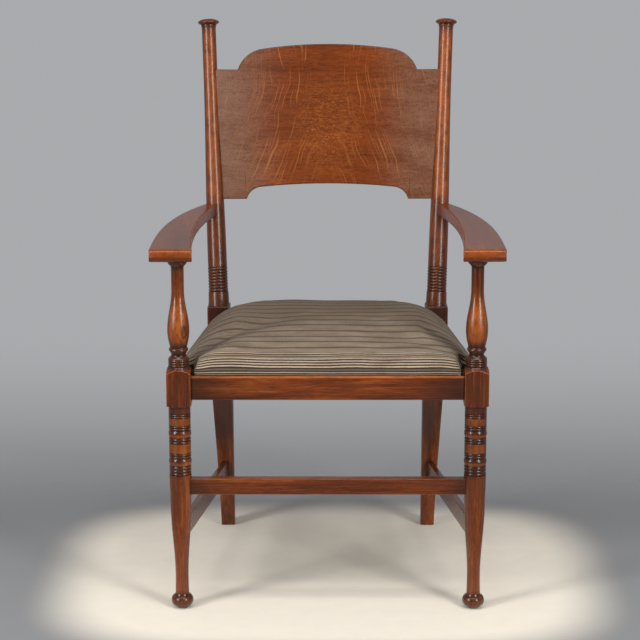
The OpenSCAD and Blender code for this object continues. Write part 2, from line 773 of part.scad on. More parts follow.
// The crosswise straps keep clear of the notches and lie over the lengthwise ones
web_tack = 8;
web_clear = 45;
hessian_in = 6;
module webbing_straps(crosswise) {
    for (i = [0:web_count - 1]) {
        t = (i + 0.5) / web_count;
        if (crosswise) {
            y = frame_front + web_clear + (frame_back - frame_front - 2 * web_clear) * t;
            x = side_x(y + web_w / 2, frame_side) - web_tack;
            x_in = y - web_w / 2 < notch_front ? min(x, frame_x - web_tack) : x;
            box([-x_in, y - web_w / 2, frame_top + web_t], [x_in, y + web_w / 2, web_top]);
        } else {
            x = (2 * t - 1) * (frame_back_x - web_tack);
            box([x - web_w / 2, frame_front + web_tack, frame_top],
                [x + web_w / 2, frame_back - web_tack, frame_top + web_t]);
        }
    }
}

module hessian() {
    color("#a58b62") translate([0, 0, web_top]) linear_extrude(hessian_t) seat_plan(-hessian_in);
}

pad_step = 48;
// The cushion's skin is drawn over rings that follow the seat's outline and close on its middle
seat_parts = let (o = seat_outline(0)) [for (i = [0:len(o) - 1])
    max(1, round(norm(o[(i + 1) % len(o)] - o[i]) / pad_step))];
function seat_points(off) = let (o = seat_outline(off)) [for (i = [0:len(o) - 1])
    for (k = [0:seat_parts[i] - 1]) o[i] + (o[(i + 1) % len(o)] - o[i]) * k / seat_parts[i]];
// The front wall swells forward over the lip
function swollen(p, off) = let (t = max(0, (seat_mid[1] - p[1]) / (seat_mid[1] - frame_front)))
    [p[0], p[1] - (front_swell + off) * pow(t, 8)];
function rise(d, run, p = 0.5) = pow(max(0, 1 - pow(1 - min(1, max(0, d / run)), 2)), p);
front_edge = 12;
front_slope = 220;
pad_base = rail_top + 3;
skin_gap = 0.3;
pad_gap = 0.5;
pad_wall = pad_low + 1;
pad_edge = pad_wall + skin_gap + cover_t;
function pad_z(p) =
    let (d = p[1] - frame_front + cover_t + front_swell,
        slope = 1 - pow(1 - min(1, max(0, d) / front_slope), 2),
        front = front_wall * rise(d, front_edge) + (1 - front_wall) * slope)
    pad_base + (rail_top + crown_h - pad_base) * front
        * rise(side_x(p[1], frame_side + cover_t) - abs(p[0]), side_round, 0.6)
        * rise(frame_back + cover_t - p[1], back_round);
pad_shares = [0.996, 0.986, 0.966, 0.935, 0.89, 0.83, 0.74, 0.62, 0.47, 0.31, 0.15];
// Each inner skin is the outer one drawn in and let down, so that their facets never cross
pad_plan = [for (p = seat_points(cover_t)) swollen(p, 0)];
function drawn_to_mid(p, s) = seat_mid + s * (p - seat_mid);
function pad_rings(off, down) = let (points = seat_points(off)) [for (s = pad_shares)
    [for (i = [0:len(points) - 1]) concat(drawn_to_mid(swollen(points[i], off - cover_t), s),
        max(pad_edge, pad_z(drawn_to_mid(pad_plan[i], s))) - down)]];
function level(points, z) = [for (p = points) [p[0], p[1], z]];
function fan(start, n, tip) = [for (i = [0:n - 1]) [start + i, start + (i + 1) % n, tip]];
function flipped(faces) = [for (f = faces) reversed(f)];

module stuffing() {
    top_down = cover_t + pad_gap;
    rings = concat([level([for (p = seat_points(-pad_gap)) swollen(p, -cover_t)], pad_low)],
        pad_rings(-pad_gap, top_down));
    n = len(rings[0]);
    m = len(rings);
    all = m * n;
    color(wadding) polyhedron(
        concat([for (r = rings) each r],
            [concat(seat_mid, pad_z(seat_mid) - top_down), concat(seat_mid, pad_low)]),
        concat(flipped(concat(skin_faces(m, n), fan(all - n, n, all))), fan(0, n, all + 1)));
}

module seat_cover() {
    outer = cover_t;
    inner = glue_gap;
    function shell(off, down) = concat(
        [level(seat_points(off), ledge + skin_gap), level(seat_points(off), rail_top + cover_t - down),
            level([for (p = seat_points(off)) swollen(p, off - cover_t)], pad_wall)],
        pad_rings(off, down));
    a = shell(outer, 0);
    b = shell(inner, cover_t);
    n = len(a[0]);
    m = len(a);
    all = m * n;
    tip = concat(seat_mid, pad_z(seat_mid));
    // The inner skin is the outer one turned round, and a strip along the hem joins them
    color(cloth) polyhedron(
        concat([for (r = a) each r], [for (r = b) each r], [tip, tip - [0, 0, cover_t]]),
        concat(flipped(skin_faces(m, n)), flipped(fan(all - n, n, 2 * all)),
            [for (f = skin_faces(m, n)) [f[0] + all, f[1] + all, f[2] + all]],
            fan(2 * all - n, n, 2 * all + 1),
            [for (i = [0:n - 1]) each [[i, (i + 1) % n, all + i],
                [(i + 1) % n, all + (i + 1) % n, all + i]]]));
}

// Black cloth under the seat frame, held by a row of tacks along each edge
under_in = rail_t - seat_lip + 2;
module bottom_cloth() {
    color("#1d1b1a") difference() {
        translate([0, 0, ledge - under_t]) linear_extrude(under_t) seat_plan(-under_in);
        cloth_tacks_of(glue_gap);
    }
}

tack_head_h = 1.2;
module tack(p, grow) {
    translate([p[0], p[1], ledge - under_t]) {
        translate([0, 0, -tack_head_h]) cylinder(h = tack_head_h, r = tack_head_d / 2, $fn = 20);
        translate([0, 0, -tack_head_h / 2])
            cylinder(h = tack_len + tack_head_h / 2 + grow, r = tack_d / 2 + grow, $fn = 16);
    }
}

module cloth_tacks_of(grow = 0) {
    edge = under_in + tack_head_d;
    for (i = [0:tack_count - 1]) {
        t = (i + 0.5) / tack_count;
        x_front = (2 * t - 1) * (frame_x - frame_side_w - tack_head_d);
        x_back = (2 * t - 1) * (frame_back_x - frame_side_w);
        y = notch_front + under_in + (notch_back - notch_front - 2 * under_in) * t;
        tack([x_front, frame_front + edge], grow);
        tack([x_back, frame_back - edge], grow);
        for (s = [-1, 1]) tack([s * side_x(y, frame_side - edge), y], grow);
    }
}

// The sub-parts that are made from the modules above, each with its colour
module front_leg_left() {
    color(oak_light) side(-1) front_leg();
}
module front_leg_right() {
    color(oak_light) front_leg();
}
module back_post_left() {
    color(oak_dark) side(-1) back_post();
}
module back_post_right() {
    color(oak_dark) back_post();
}
module back_board() {
    color(oak) board();
}
module arm_left() {
    color(oak_light) side(-1) arm();
}
module arm_right() {
    color(oak_light) arm();
}
module arm_dowels() {
    color(beech) for (s = [-1, 1]) side(s) arm_dowel();
}
module side_rail_left() {
    color(oak) side(-1) side_rail();
}
module side_rail_right() {
    color(oak) side_rail();
}
module corner_brace_front_left() {
    color(beech) side(-1) front_brace();
}
module corner_brace_front_right() {
    color(beech) front_brace();
}
module corner_brace_back_left() {
    color(beech) side(-1) back_brace();
}
module corner_brace_back_right() {
    color(beech) back_brace();
}
module brace_screws() {
    color(steel) brace_screws_of([-1, 1]);
}
module front_stretcher() {
    color(oak_light) front_bar();
}
module side_stretcher_left() {
    color(oak_dark) side(-1) side_bar();
}
module side_stretcher_right() {
    color(oak_dark) side_bar();
}
module seat_frame_front() {
    color(beech) end_member(false);
}
module seat_frame_back() {
    color(beech) end_member(true);
}
module seat_frame_left() {
    color(beech) side(-1) side_member();
}
module seat_frame_right() {
    color(beech) side_member();
}
module webbing_lengthwise() {
    color(jute) webbing_straps(false);
}
module webbing_crosswise() {
    color(jute) webbing_straps(true);
}
module cloth_tacks() {
    color(steel) cloth_tacks_of();
}

front_leg_left();
front_leg_right();
back_post_left();
back_post_right();
back_board();
arm_left();
arm_right();
arm_dowels();
front_rail();
back_rail();
side_rail_left();
side_rail_right();
corner_brace_front_left();
corner_brace_front_right();
corner_brace_back_left();
corner_brace_back_right();
brace_screws();
front_stretcher();
side_stretcher_left();
side_stretcher_right();
seat_frame_front();
seat_frame_back();
seat_frame_left();
seat_frame_right();
webbing_lengthwise();
webbing_crosswise();
hessian();
stuffing();
seat_cover();
bottom_cloth();
cloth_tacks();
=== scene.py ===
"""Dresses the solids of a turned oak armchair: polished wood, a bowed back board and a loose striped seat."""

import math

import bmesh
import bpy
import numpy as np
from bpy.props import FloatProperty, FloatVectorProperty, IntProperty, PointerProperty
from mathutils import Matrix, Vector


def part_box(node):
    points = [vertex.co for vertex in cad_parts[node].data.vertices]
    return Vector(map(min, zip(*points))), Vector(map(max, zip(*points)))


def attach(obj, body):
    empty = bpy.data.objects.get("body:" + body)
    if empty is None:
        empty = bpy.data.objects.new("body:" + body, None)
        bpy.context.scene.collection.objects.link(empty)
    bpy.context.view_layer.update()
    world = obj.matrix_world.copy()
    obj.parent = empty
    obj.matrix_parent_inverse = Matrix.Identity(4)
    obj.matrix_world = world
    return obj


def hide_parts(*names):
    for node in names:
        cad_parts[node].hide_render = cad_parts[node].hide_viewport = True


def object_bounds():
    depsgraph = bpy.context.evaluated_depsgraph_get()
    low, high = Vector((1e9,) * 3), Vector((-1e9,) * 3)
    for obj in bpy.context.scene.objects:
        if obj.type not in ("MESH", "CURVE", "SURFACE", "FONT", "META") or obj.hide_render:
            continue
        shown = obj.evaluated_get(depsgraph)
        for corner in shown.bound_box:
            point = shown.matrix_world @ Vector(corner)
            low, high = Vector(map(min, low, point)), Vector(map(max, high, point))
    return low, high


bl_info = {
    "name": "Turned oak armchair",
    "version": (1, 0, 0),
    "blender": (4, 5, 0),
    "location": "3D View > Sidebar > Armchair",
    "description": "Makes the polished oak pieces and the striped loose seat of an armchair over its solids",
    "category": "Object",
}

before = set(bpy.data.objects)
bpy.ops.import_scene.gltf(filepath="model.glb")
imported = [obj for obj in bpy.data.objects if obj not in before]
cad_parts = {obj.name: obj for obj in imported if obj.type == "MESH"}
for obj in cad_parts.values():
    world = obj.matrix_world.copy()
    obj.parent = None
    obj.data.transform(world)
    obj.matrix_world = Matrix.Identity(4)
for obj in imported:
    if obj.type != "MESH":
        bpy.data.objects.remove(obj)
solid_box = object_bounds()

# Places read from the solids, in metres
leg_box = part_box("front_leg_right")
rail_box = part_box("front_rail")
back_rail_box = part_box("back_rail")
arm_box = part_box("arm_right")
frame_front_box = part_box("seat_frame_front")
frame_back_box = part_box("seat_frame_back")
frame_side_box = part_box("seat_frame_right")
FRONT_X = (leg_box[0].x + leg_box[1].x) / 2
FRONT_Y = (leg_box[0].y + leg_box[1].y) / 2
RAIL_TOP = rail_box[1].z
RAIL_LOW = rail_box[0].z
ARM_TOP = arm_box[1].z
ARM_UNDER = arm_box[0].z
CHAIR_TOP = solid_box[1].z
BACK_FACE = back_rail_box[1].y
FRONT_FACE = rail_box[0].y
LEDGE = frame_front_box[0].z
BACK_X = 0.2195  # The middle of a post, which its own box doesn't give, because it splays
BACK_Y = BACK_FACE - 0.0185
SIDE_SLOPE = (FRONT_X - BACK_X) / (BACK_Y - FRONT_Y)
SIDE_ANGLE = math.atan(SIDE_SLOPE)


# Kinds of setting

def length(name, description, default):
    """A size in metres that a user can change."""
    return FloatProperty(name=name, description=description, default=default, unit="LENGTH", precision=4)


def angle(name, description, default):
    """An angle in radians that a user can change."""
    return FloatProperty(name=name, description=description, default=default, subtype="ANGLE", precision=5)


def colour(name, description, default):
    """A linear colour that a user can change."""
    return FloatVectorProperty(name=name, description=description, default=default, size=3,
                               min=0, max=1, subtype="COLOR")


def amount(name, description, default):
    """A plain number that a user can change."""
    return FloatProperty(name=name, description=description, default=default)


def number(name, description, default):
    """A whole number that a user can change."""
    return IntProperty(name=name, description=description, default=default)


class OakFinish(bpy.types.PropertyGroup):
    """Colours and gloss of the polished oak"""
    dark: colour("Dark", "Stain in the pores and recesses", (0.022, 0.0062, 0.0025))
    middle: colour("Middle", "Polished wood", (0.120, 0.0240, 0.0032))
    light: colour("Light", "Rubbed edges and bright grain", (0.39, 0.098, 0.012))
    gold: colour("Gold", "Ray flecks of the quartered boards", (0.44, 0.17, 0.040))
    roughness: amount("Roughness", "Roughness of the polish", 0.25)
    coat: amount("Coat", "Strength of the wax coat", 0.35)
    # Painted reflection: the grey sheen on both ends of the bowed back board
    painted_sheen: colour("Bloom", "Old polish on the ends of the back board", (0.165, 0.105, 0.070))


class LegSizes(bpy.types.PropertyGroup):
    """Sizes of the turned front legs"""
    block: length("Block", "Width of the square block", 0.044)
    block_drop: length("Block drop", "Block below the top of the rails", 0.058)
    block_rise: length("Block rise", "Block above the top of the rails", 0.014)
    cone: length("Cone", "Turned cone on top of the block", 0.003)
    arch: length("Arch", "Depth of the arched shoulders of the block", 0.007)
    drum: length("Drum", "Diameter of the ringed drum", 0.040)
    drum_length: length("Drum length", "Length of the ringed drum", 0.130)
    groove: length("Groove", "Depth of the grooves beside the rings", 0.0015)
    bulb: length("Bulb", "How far the wide rings stand out", 0.0009)
    ankle: length("Ankle", "Diameter above the foot", 0.024)
    ankle_length: length("Ankle length", "Height over which the leg is slim", 0.036)
    bun: length("Bun", "Diameter of the foot", 0.0406)
    bun_height: length("Bun height", "Height of the foot", 0.026)
    tread: length("Tread", "Diameter of the face that stands on the floor", 0.020)
    base_ring: length("Base rings", "Diameter of the rings above the block", 0.0386)
    base_height: length("Base height", "Height of the rings, cove and collar", 0.038)
    cove: length("Cove", "Diameter of the cove", 0.0266)
    collar: length("Collar", "Diameter of the collar", 0.0354)
    belly: length("Belly", "Diameter of the belly", 0.040)
    belly_up: length("Belly height", "Height of the belly above the block", 0.068)
    belly_run: length("Belly run", "Length from the belly to the neck", 0.073)
    neck: length("Neck", "Diameter of the neck", 0.023)
    cup: length("Cup", "Diameter of the cup under the arm", 0.0366)
    cup_height: length("Cup height", "Height of the cup", 0.014)


class PostSizes(bpy.types.PropertyGroup):
    """Sizes of the back posts and legs"""
    centre: length("Centre", "Distance of a post from the middle of the chair", BACK_X)
    block: length("Block", "Width of the square block", 0.045)
    block_rise: length("Block rise", "Block above the top of the rails", 0.033)
    bevel: length("Bevel", "Bevel round the top of the block", 0.003)
    inset: length("Inset", "How far the rail stands back from the block", 0.004)
    lean: angle("Lean", "Backward lean", math.radians(8.6))
    splay: angle("Splay", "Outward splay", math.radians(1.9))
    knee: length("Knee", "Height at which the leg starts to curve back", 0.385)
    heel: length("Heel", "Width and depth of the foot", 0.0275)
    heel_back: length("Heel back", "How far back the foot stands", 0.045)
    heel_in: length("Heel in", "How far the foot's inner face is set in", 0.026)
    inner_taper: length("Inner taper", "Height of the taper under the rail inside", 0.070)
    flare: amount("Flare", "Power of the outer edge's curve", 1.35)
    bend: amount("Bend", "Power of the backward curve", 1.6)
    base: length("Base", "Diameter above the block", 0.0416)
    ring_start: length("Ring start", "Height of the first ring", 0.026)
    rings: number("Rings", "Number of rings", 8)
    ring_pitch: length("Ring pitch", "Distance from ring to ring", 0.0062)
    groove: length("Groove", "Depth of the grooves between the rings", 0.0015)
    middle: length("Middle", "Diameter above the rings", 0.0384)
    top: length("Top", "Diameter under the cap", 0.028)
    taper: length("Taper", "Length of the taper", 0.392)
    cap: length("Cap", "Diameter of the cap", 0.0426)
    cap_height: length("Cap height", "Height of the cap", 0.0115)


class BoardSizes(bpy.types.PropertyGroup):
    """Sizes of the bowed back board"""
    thick: length("Thickness", "Thickness of the board", 0.014)
    bow: length("Bow", "How far the middle is bowed back", 0.025)
    drop: length("Drop", "Distance of the upper corners from the top of the posts", 0.1015)
    end: length("End", "Length of the board's ends", 0.260)
    crest: length("Crest", "Rise of the arched top edge", 0.052)
    skirt: length("Skirt", "Rise of the lower edge", 0.031)
    crest_shoulder: length("Crest shoulder", "From the post's centre line to the upper arch", 0.055)
    skirt_shoulder: length("Skirt shoulder", "From the post's centre line to the lower arch", 0.064)
    crest_radius: length("Crest radius", "Radius of the corners of the upper arch", 0.062)
    skirt_radius: length("Skirt radius", "Radius of the corners of the lower arch", 0.032)
    edge: length("Edge", "Radius of the board's edges", 0.003)
    crest_start: angle("Crest start", "Where the upper corner's arc starts", math.radians(162))
    skirt_start: angle("Skirt start", "Where the lower corner's arc starts", math.radians(166))
    arc_end: angle("Arc end", "Where the corners' arcs end", math.radians(97))


class ArmSizes(bpy.types.PropertyGroup):
    """Sizes of the arms"""
    width: length("Width", "Width of the front end", 0.0775)
    out: length("Out", "How far the arm stands out beyond the leg's centre", 0.0485)
    reach: length("Reach", "How far the arm reaches in front of the leg's centre", 0.037)
    back_width: length("Back width", "Width at the post", 0.023)
    edge: length("Edge", "Radius of the long edges", 0.002)
    nose: length("Nose", "Radius of the front end", 0.010)
    crown: length("Crown", "Swell of the top and under faces", 0.0004)
    beside: length("Beside", "How far the back end lies outside the post's centre line", 0.005)
    before: length("Before", "How far the back end lies in front of the post's centre line", 0.007)


class BarSizes(bpy.types.PropertyGroup):
    """Sizes of the rails and stretchers"""
    rail: length("Rail", "Thickness of the rails", 0.024)
    lip: length("Lip", "Lip that is left round the seat", 0.005)
    rail_edge: length("Rail edge", "Radius of the rails' upper front edge", 0.0028)
    edge: length("Edge", "Radius of the other edges", 0.0013)
    front_height: length("Front height", "Height of the front stretcher's middle", 0.2345)
    front_tall: length("Front face", "Height of the front stretcher's face", 0.030)
    front_thick: length("Front thickness", "Thickness of the front stretcher", 0.018)
    side_front: length("Side height, front", "Height of a side stretcher at the front leg", 0.1465)
    side_back: length("Side height, back", "Height of a side stretcher at the back leg", 0.130)
    side_tall: length("Side face", "Height of the side stretchers' faces", 0.035)
    side_thick: length("Side thickness", "Thickness of the side stretchers", 0.013)
    let_in: length("Let in", "How deep the side stretchers enter the back legs", 0.012)
    housed: length("Housed", "How deep the rails and the front stretcher are housed", 0.008)
    side_end: length("Side end", "How far a side rail ends from the leg's centre", 0.014)


class SeatSizes(bpy.types.PropertyGroup):
    """Sizes and colours of the loose seat"""
    cover: length("Cover", "Thickness of the striped cover", 0.0015)
    crown: length("Crown", "Top of the seat above the rails", 0.065)
    wall: amount("Front wall", "Share of the height that the front wall reaches", 0.60)
    swell: length("Swell", "How far the front wall swells over the rail", 0.005)
    wall_run: length("Wall run", "Depth over which the front wall rises", 0.012)
    slope_run: length("Slope run", "Depth over which the front slope rises", 0.220)
    side_run: length("Side run", "Width of the rounded sides", 0.080)
    back_run: length("Back run", "Length of the fall to the back", 0.200)
    voxel: length("Voxel", "Size of the cushion's mesh", 0.005)
    start: length("Start", "How much smaller the cushion starts", 0.003)
    swell_cap: length("Swell cap", "How far a point may move in the simulation", 0.006)
    repeat: length("Repeat", "Repeat of the stripes", 0.033)
    drawn_run: length("Drawn run", "Depth over which the stripes are drawn together behind the edge", 0.085)
    band_place: length("Band place", "Distance of a dark band from the top of the front wall", 0.020)
    cream: colour("Cream", "Light stripes", (0.46, 0.365, 0.27))
    # Taupe stands for soiled cloth and also for painted shade on the seat's top
    taupe: colour("Taupe", "Light stripes where the cloth is soiled", (0.262, 0.190, 0.124))
    umber: colour("Umber", "Dark stripes", (0.034, 0.023, 0.017))
    web_width: length("Webbing width", "Width of the webbing", 0.050)
    web_thick: length("Webbing thickness", "Thickness of the webbing", 0.0013)
    straps: number("Straps", "Number of straps in each direction", 4)
    strap_margin: length("Strap margin", "From the seat's edge to the first crossing of straps", 0.045)
    strap_short: length("Strap short", "How far a strap ends from the frame's edge", 0.008)
    cloth_thick: length("Cloth thickness", "Thickness of the hessian and the bottom cloth", 0.0007)


class StageSettings(bpy.types.PropertyGroup):
    """Camera, lamps and floor"""
    place: FloatVectorProperty(name="Place", description="Place of the camera", size=3, subtype="TRANSLATION",
                               unit="LENGTH", default=(0.0004, -3.8994, 1.3581))
    turn: angle("Turn", "Turn of the camera to the left", 0.0133)
    pitch: angle("Pitch", "Downward pitch of the camera", 0.2105)
    roll: angle("Roll", "Roll of the camera", 0.0034)
    lens: amount("Lens", "Focal length in millimetres", 116.34)
    shift: FloatVectorProperty(name="Shift", description="Shift of the picture", size=2,
                               default=(0.03, -0.03))
    floor: colour("Floor", "Colour of the floor", (0.84, 0.78, 0.68))
    far_floor: colour("Far floor", "Colour of the floor further out", (0.25, 0.255, 0.265))
    backdrop: colour("Backdrop", "Colour behind the chair", (0.40, 0.405, 0.42))


SETTINGS = {"oak_finish": OakFinish, "leg_sizes": LegSizes, "post_sizes": PostSizes,
            "board_sizes": BoardSizes, "arm_sizes": ArmSizes, "bar_sizes": BarSizes,
            "seat_sizes": SeatSizes, "stage_settings": StageSettings}


# Meshes from whole arrays

def mesh_object(name, points, faces, wear=None, cloth=None):
    """An object from points (n, 3) and a list of face arrays, each (m, 3) or (m, 4).
    wear is one number a point, and cloth one (u, v) a point."""
    corners = np.concatenate([f.ravel() for f in faces]).astype(np.int32)
    sizes = np.concatenate([np.full(len(f), f.shape[1]) for f in faces])
    mesh = bpy.data.meshes.new(name)
    mesh.vertices.add(len(points))
    mesh.vertices.foreach_set("co", np.ascontiguousarray(points, np.float32).ravel())
    mesh.loops.add(len(corners))
    mesh.loops.foreach_set("vertex_index", corners)
    mesh.polygons.add(len(sizes))
    mesh.polygons.foreach_set("loop_start", np.concatenate(([0], np.cumsum(sizes)[:-1])).astype(np.int32))
    mesh.update(calc_edges=True)
    if cloth is not None:
        mesh.uv_layers.new(name="cloth").data.foreach_set("uv", cloth[corners].astype(np.float32).ravel())
    if wear is not None:
        mesh.attributes.new("wear", "FLOAT", "POINT").data.foreach_set("value", wear.astype(np.float32))
    mesh.shade_smooth()
    made = bpy.data.objects.new(name, mesh)
    bpy.context.scene.collection.objects.link(made)
    return made


def rings_of(x, y, z):
    """Rings of points (m, n, 3) from three arrays or numbers that are spread to one shape."""
    return np.stack(np.broadcast_arrays(x, y, z), -1)


def volume(points, quads):
    """Volume inside closed quads: the sum of the tetrahedra from the origin to the two triangles of each."""
    a, b, c, d = (points[quads[:, i]] for i in range(4))
    return (np.einsum("ij,ij", a, np.cross(b, c)) + np.einsum("ij,ij", a, np.cross(c, d))) / 6


def skin(rings, wear=None, hubs=None):
    """A closed skin over rings of points (m, n, 3): a quad between each two points of two rings, and at
    either end a fan to the ring's middle or to a given hub. It is turned round if its volume comes out
    negative."""
    rows, around = rings.shape[:2]
    points = np.concatenate((rings.reshape(-1, 3), rings[[0, -1]].mean(1) if hubs is None else hubs))
    row, column = np.meshgrid(np.arange(rows - 1), np.arange(around), indexing="ij")
    here = row * around + column
    beside = row * around + (column + 1) % around
    quads = np.stack((here, beside, beside + around, here + around), -1).reshape(-1, 4)
    edge = np.arange(around)
    after = (edge + 1) % around
    far = (rows - 1) * around
    fans = np.concatenate((np.stack((after, edge, np.full(around, rows * around)), -1),
                           np.stack((edge + far, after + far, np.full(around, rows * around + 1)), -1)))
    if volume(points - points.mean(0), quads) < 0:
        quads, fans = quads[:, ::-1], fans[:, ::-1]
    spread = np.zeros((rows, around)) if wear is None else np.broadcast_to(wear, (rows, around))
    ends = spread[[0, -1]].mean(1)
    return {"points": points, "quads": quads, "fans": fans, "wear": np.concatenate((spread.ravel(), ends))}


def piece(name, skins, material, body, nodes, side=1):
    """One object from one or more skins, mirrored for side -1, that rides on a body in place of CAD nodes."""
    starts = np.cumsum([0] + [len(s["points"]) for s in skins])
    points = np.concatenate([s["points"] for s in skins]) * (side, 1, 1)
    turned = slice(None, None, side)
    quads = np.concatenate([s["quads"][:, turned] + k for s, k in zip(skins, starts)])
    fans = np.concatenate([s["fans"][:, turned] + k for s, k in zip(skins, starts)])
    cloth = np.concatenate([s["cloth"] for s in skins]) if "cloth" in skins[0] else None
    made = mesh_object(name, points, [quads, fans], np.concatenate([s["wear"] for s in skins]), cloth)
    return placed(made, material, body, nodes)


def placed(made, material, body, nodes):
    """Gives a finished object its material and its body, and hides the CAD nodes that it stands for."""
    made.data.materials.clear()
    made.data.materials.append(material)
    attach(made, body)
    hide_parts(*nodes)
    return made


def eased_copy(node, material, body, width):
    """A copy of a CAD node with its triangles joined, its flat faces made whole and its edges rounded."""
    made = bpy.data.objects.new(node + "_eased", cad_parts[node].data.copy())
    bpy.context.scene.collection.objects.link(made)
    work = bmesh.new()
    work.from_mesh(made.data)
    bmesh.ops.remove_doubles(work, verts=work.verts, dist=2e-5)
    bmesh.ops.dissolve_limit(work, angle_limit=math.radians(1), verts=work.verts, edges=work.edges)
    work.to_mesh(made.data)
    work.free()
    ease = made.modifiers.new("edges", "BEVEL")
    ease.width = width
    ease.segments = 2
    ease.limit_method = "ANGLE"
    ease.angle_limit = math.radians(40)
    ease.harden_normals = True
    made.data.shade_smooth()
    return placed(made, material, body, [node])


# Turned outlines: arrays of (radius, height) that run downwards

def ease(ra, rb, za, zb, n=12):
    """Half a cosine wave from radius ra at height za to rb at zb."""
    t = np.linspace(0, 1, n)
    return np.column_stack((ra + (rb - ra) * (1 - np.cos(np.pi * t)) / 2, za + (zb - za) * t))


def bulge(r, out, za, zb, n=16, power=1.0):
    """Half a sine wave that stands out from radius r, rounder with a power below one."""
    t = np.linspace(0, 1, n)
    return np.column_stack((r + out * np.clip(np.sin(np.pi * t), 0, 1) ** power, za + (zb - za) * t))


def beads(r, depth, za, zb, count, n=9):
    """A row of half sine waves whose crests are at radius r."""
    t = np.linspace(0, count, count * (n - 1) + 1)
    return np.column_stack((r - depth + depth * np.abs(np.sin(np.pi * t)) ** 0.8, za + (zb - za) * t / count))


def waist(rb, ra, zb, za, n=16):
    """A quarter cosine wave that runs down from the full radius rb to ra, steepest at its end."""
    t = np.linspace(0, 1, n)
    return np.column_stack((ra + (rb - ra) * np.cos(np.pi / 2 * t), zb + (za - zb) * t))


def dome(ra, rb, za, zb, n=16):
    """A quarter of an ellipse, level at (ra, za) and upright at (rb, zb)."""
    a = np.pi / 2 * np.linspace(0, 1, n)
    return np.column_stack((ra + (rb - ra) * np.sin(a), zb + (za - zb) * np.cos(a)))


def polished(outline, rings, soft, longest=0.004, close=(0, 0)):
    """The outline at a fine even step, rounded by a bell-shaped running average, then drawn again with
    so many rings, closest where it turns most and between two heights. Also how far each ring stands out
    from a broad average."""
    step, broad, shortest, bend = 0.0002, 0.0022, 0.0005, math.radians(9)
    run = run_along(outline)
    line = read_at(outline, run, np.arange(0, run[-1], step))
    smooth = averaged(line, soft / step)
    stands_out = smooth[:, 0] - averaged(line, broad / step)[:, 0]
    heading = np.unwrap(np.arctan2(*np.gradient(smooth, axis=0).T))
    density = step / longest + np.abs(np.gradient(heading)) / bend
    density += np.where((smooth[:, 1] > close[0]) & (smooth[:, 1] < close[1]), step / shortest, 0)
    place = np.concatenate(([0], np.cumsum(density)[:-1]))
    drawn = read_at(np.column_stack((smooth, stands_out)), place, np.linspace(0, place[-1], rings))
    return drawn[:, :2], drawn[:, 2]


def run_along(line):
    """The distance along a flat line at each of its points."""
    return np.concatenate(([0], np.cumsum(np.hypot(*np.diff(line, axis=0).T))))


def read_at(line, places, at):
    """A line whose points have places, read again at other places."""
    return np.column_stack([np.interp(at, places, column) for column in line.T])


def averaged(line, width):
    """A running average with bell-shaped weights, with the ends held."""
    reach = int(math.ceil(3 * width))
    weight = np.exp(-0.5 * (np.arange(-reach, reach + 1) / max(width, 1e-6)) ** 2)
    padded = np.concatenate((np.repeat(line[:1], reach, 0), line, np.repeat(line[-1:], reach, 0)))
    return np.column_stack([np.convolve(c, weight / weight.sum(), "valid") for c in padded.T])


def angles(count, crowd=0.0):
    """Angles round a ring, crowded towards the corners of a square by a share of up to 1."""
    even = np.arange(count) / count * 2 * np.pi
    return even + crowd / 4 * np.sin(4 * even)


def turned(line, turn):
    """Rings (m, n, 3) from radii and heights: (r cos a, r sin a, z)."""
    return rings_of(line[:, :1] * np.cos(turn), line[:, :1] * np.sin(turn), line[:, 1:])


def rubbed(line, stands_out, turn, zones):
    """Wear of a turning: -1 in a groove, and elsewhere the value of its zone, read from a list of (height,
    wear) that runs down. Where the zone is rubbed bright, it is painted brighter on the front and its sides
    are darkened by painted shade."""
    heights, values = np.array(zones)[::-1].T
    zone = np.interp(line[:, 1], heights, values)[:, None]
    # Painted light: bright zones are lighter on the front, and painted shade darkens their sides
    painted_front_light = np.interp(-np.sin(turn), [0.3, 0.8], [-0.4, 1.0])
    full_groove = 0.0005
    groove = np.minimum(stands_out, 0)[:, None] / full_groove
    return np.clip(groove + np.where(zone > 0, zone * painted_front_light, zone), -1, 1)


# Bars with rounded sections

def section_pattern(arc=5, flat=7):
    """Points round a rounded rectangle, as the side of each corner (-1 to 1) and the arc's direction."""
    cx, cy, turn = [], [], []
    corners = [(1, 1), (-1, 1), (-1, -1), (1, -1)]
    for k, (x, y) in enumerate(corners):
        nx, ny = corners[(k + 1) % 4]
        share = 0.5 - 0.5 * np.cos(np.pi * np.linspace(0.12, 0.88, flat - 1))
        cx += [np.full(arc, x), x + (nx - x) * share]
        cy += [np.full(arc, y), y + (ny - y) * share]
        turn += [np.linspace(k, k + 1, arc) * np.pi / 2, np.full(flat - 1, (k + 1) * np.pi / 2)]
    return np.concatenate(cx), np.concatenate(cy), np.concatenate(turn)


def sections(half_w, half_h, radius, arc=5, flat=7):
    """Rounded rectangles (m, n, 2) from arrays of half widths, half heights and corner radii, with a wear
    value that is high on the corners."""
    cx, cy, turn = section_pattern(arc, flat)
    w, h, r = (np.asarray(v, float)[:, None] for v in (half_w, half_h, radius))
    across = cx * (w - r) + np.cos(turn) * r
    up = cy * (h - r) + np.sin(turn) * r
    corner = (np.abs(cx) == 1) & (np.abs(cy) == 1)
    rubbed_corner = 0.4
    return np.stack((across, up), -1), np.where(corner, rubbed_corner, 0.0)


def bar(start, end, half_w, half_h, radius, up=(0, 0, 1), steps=60):
    """A straight bar with rounded edges between two points."""
    start, end = np.array(start, float), np.array(end, float)
    along = (end - start) / np.linalg.norm(end - start)
    side = np.cross(along, up)
    side /= np.linalg.norm(side)
    high = np.cross(side, along)
    t = np.linspace(0, 1, steps)[:, None]
    centres = start + (end - start) * t
    one = np.ones(steps)
    flat, wear = sections(one * half_w, one * half_h, one * radius)
    # Painted shade darkens both ends of the bar
    wear = wear + painted_end_shade(np.linalg.norm(end - start), t)
    return skin(centres[:, None] + flat[..., :1] * side + flat[..., 1:] * high, wear)


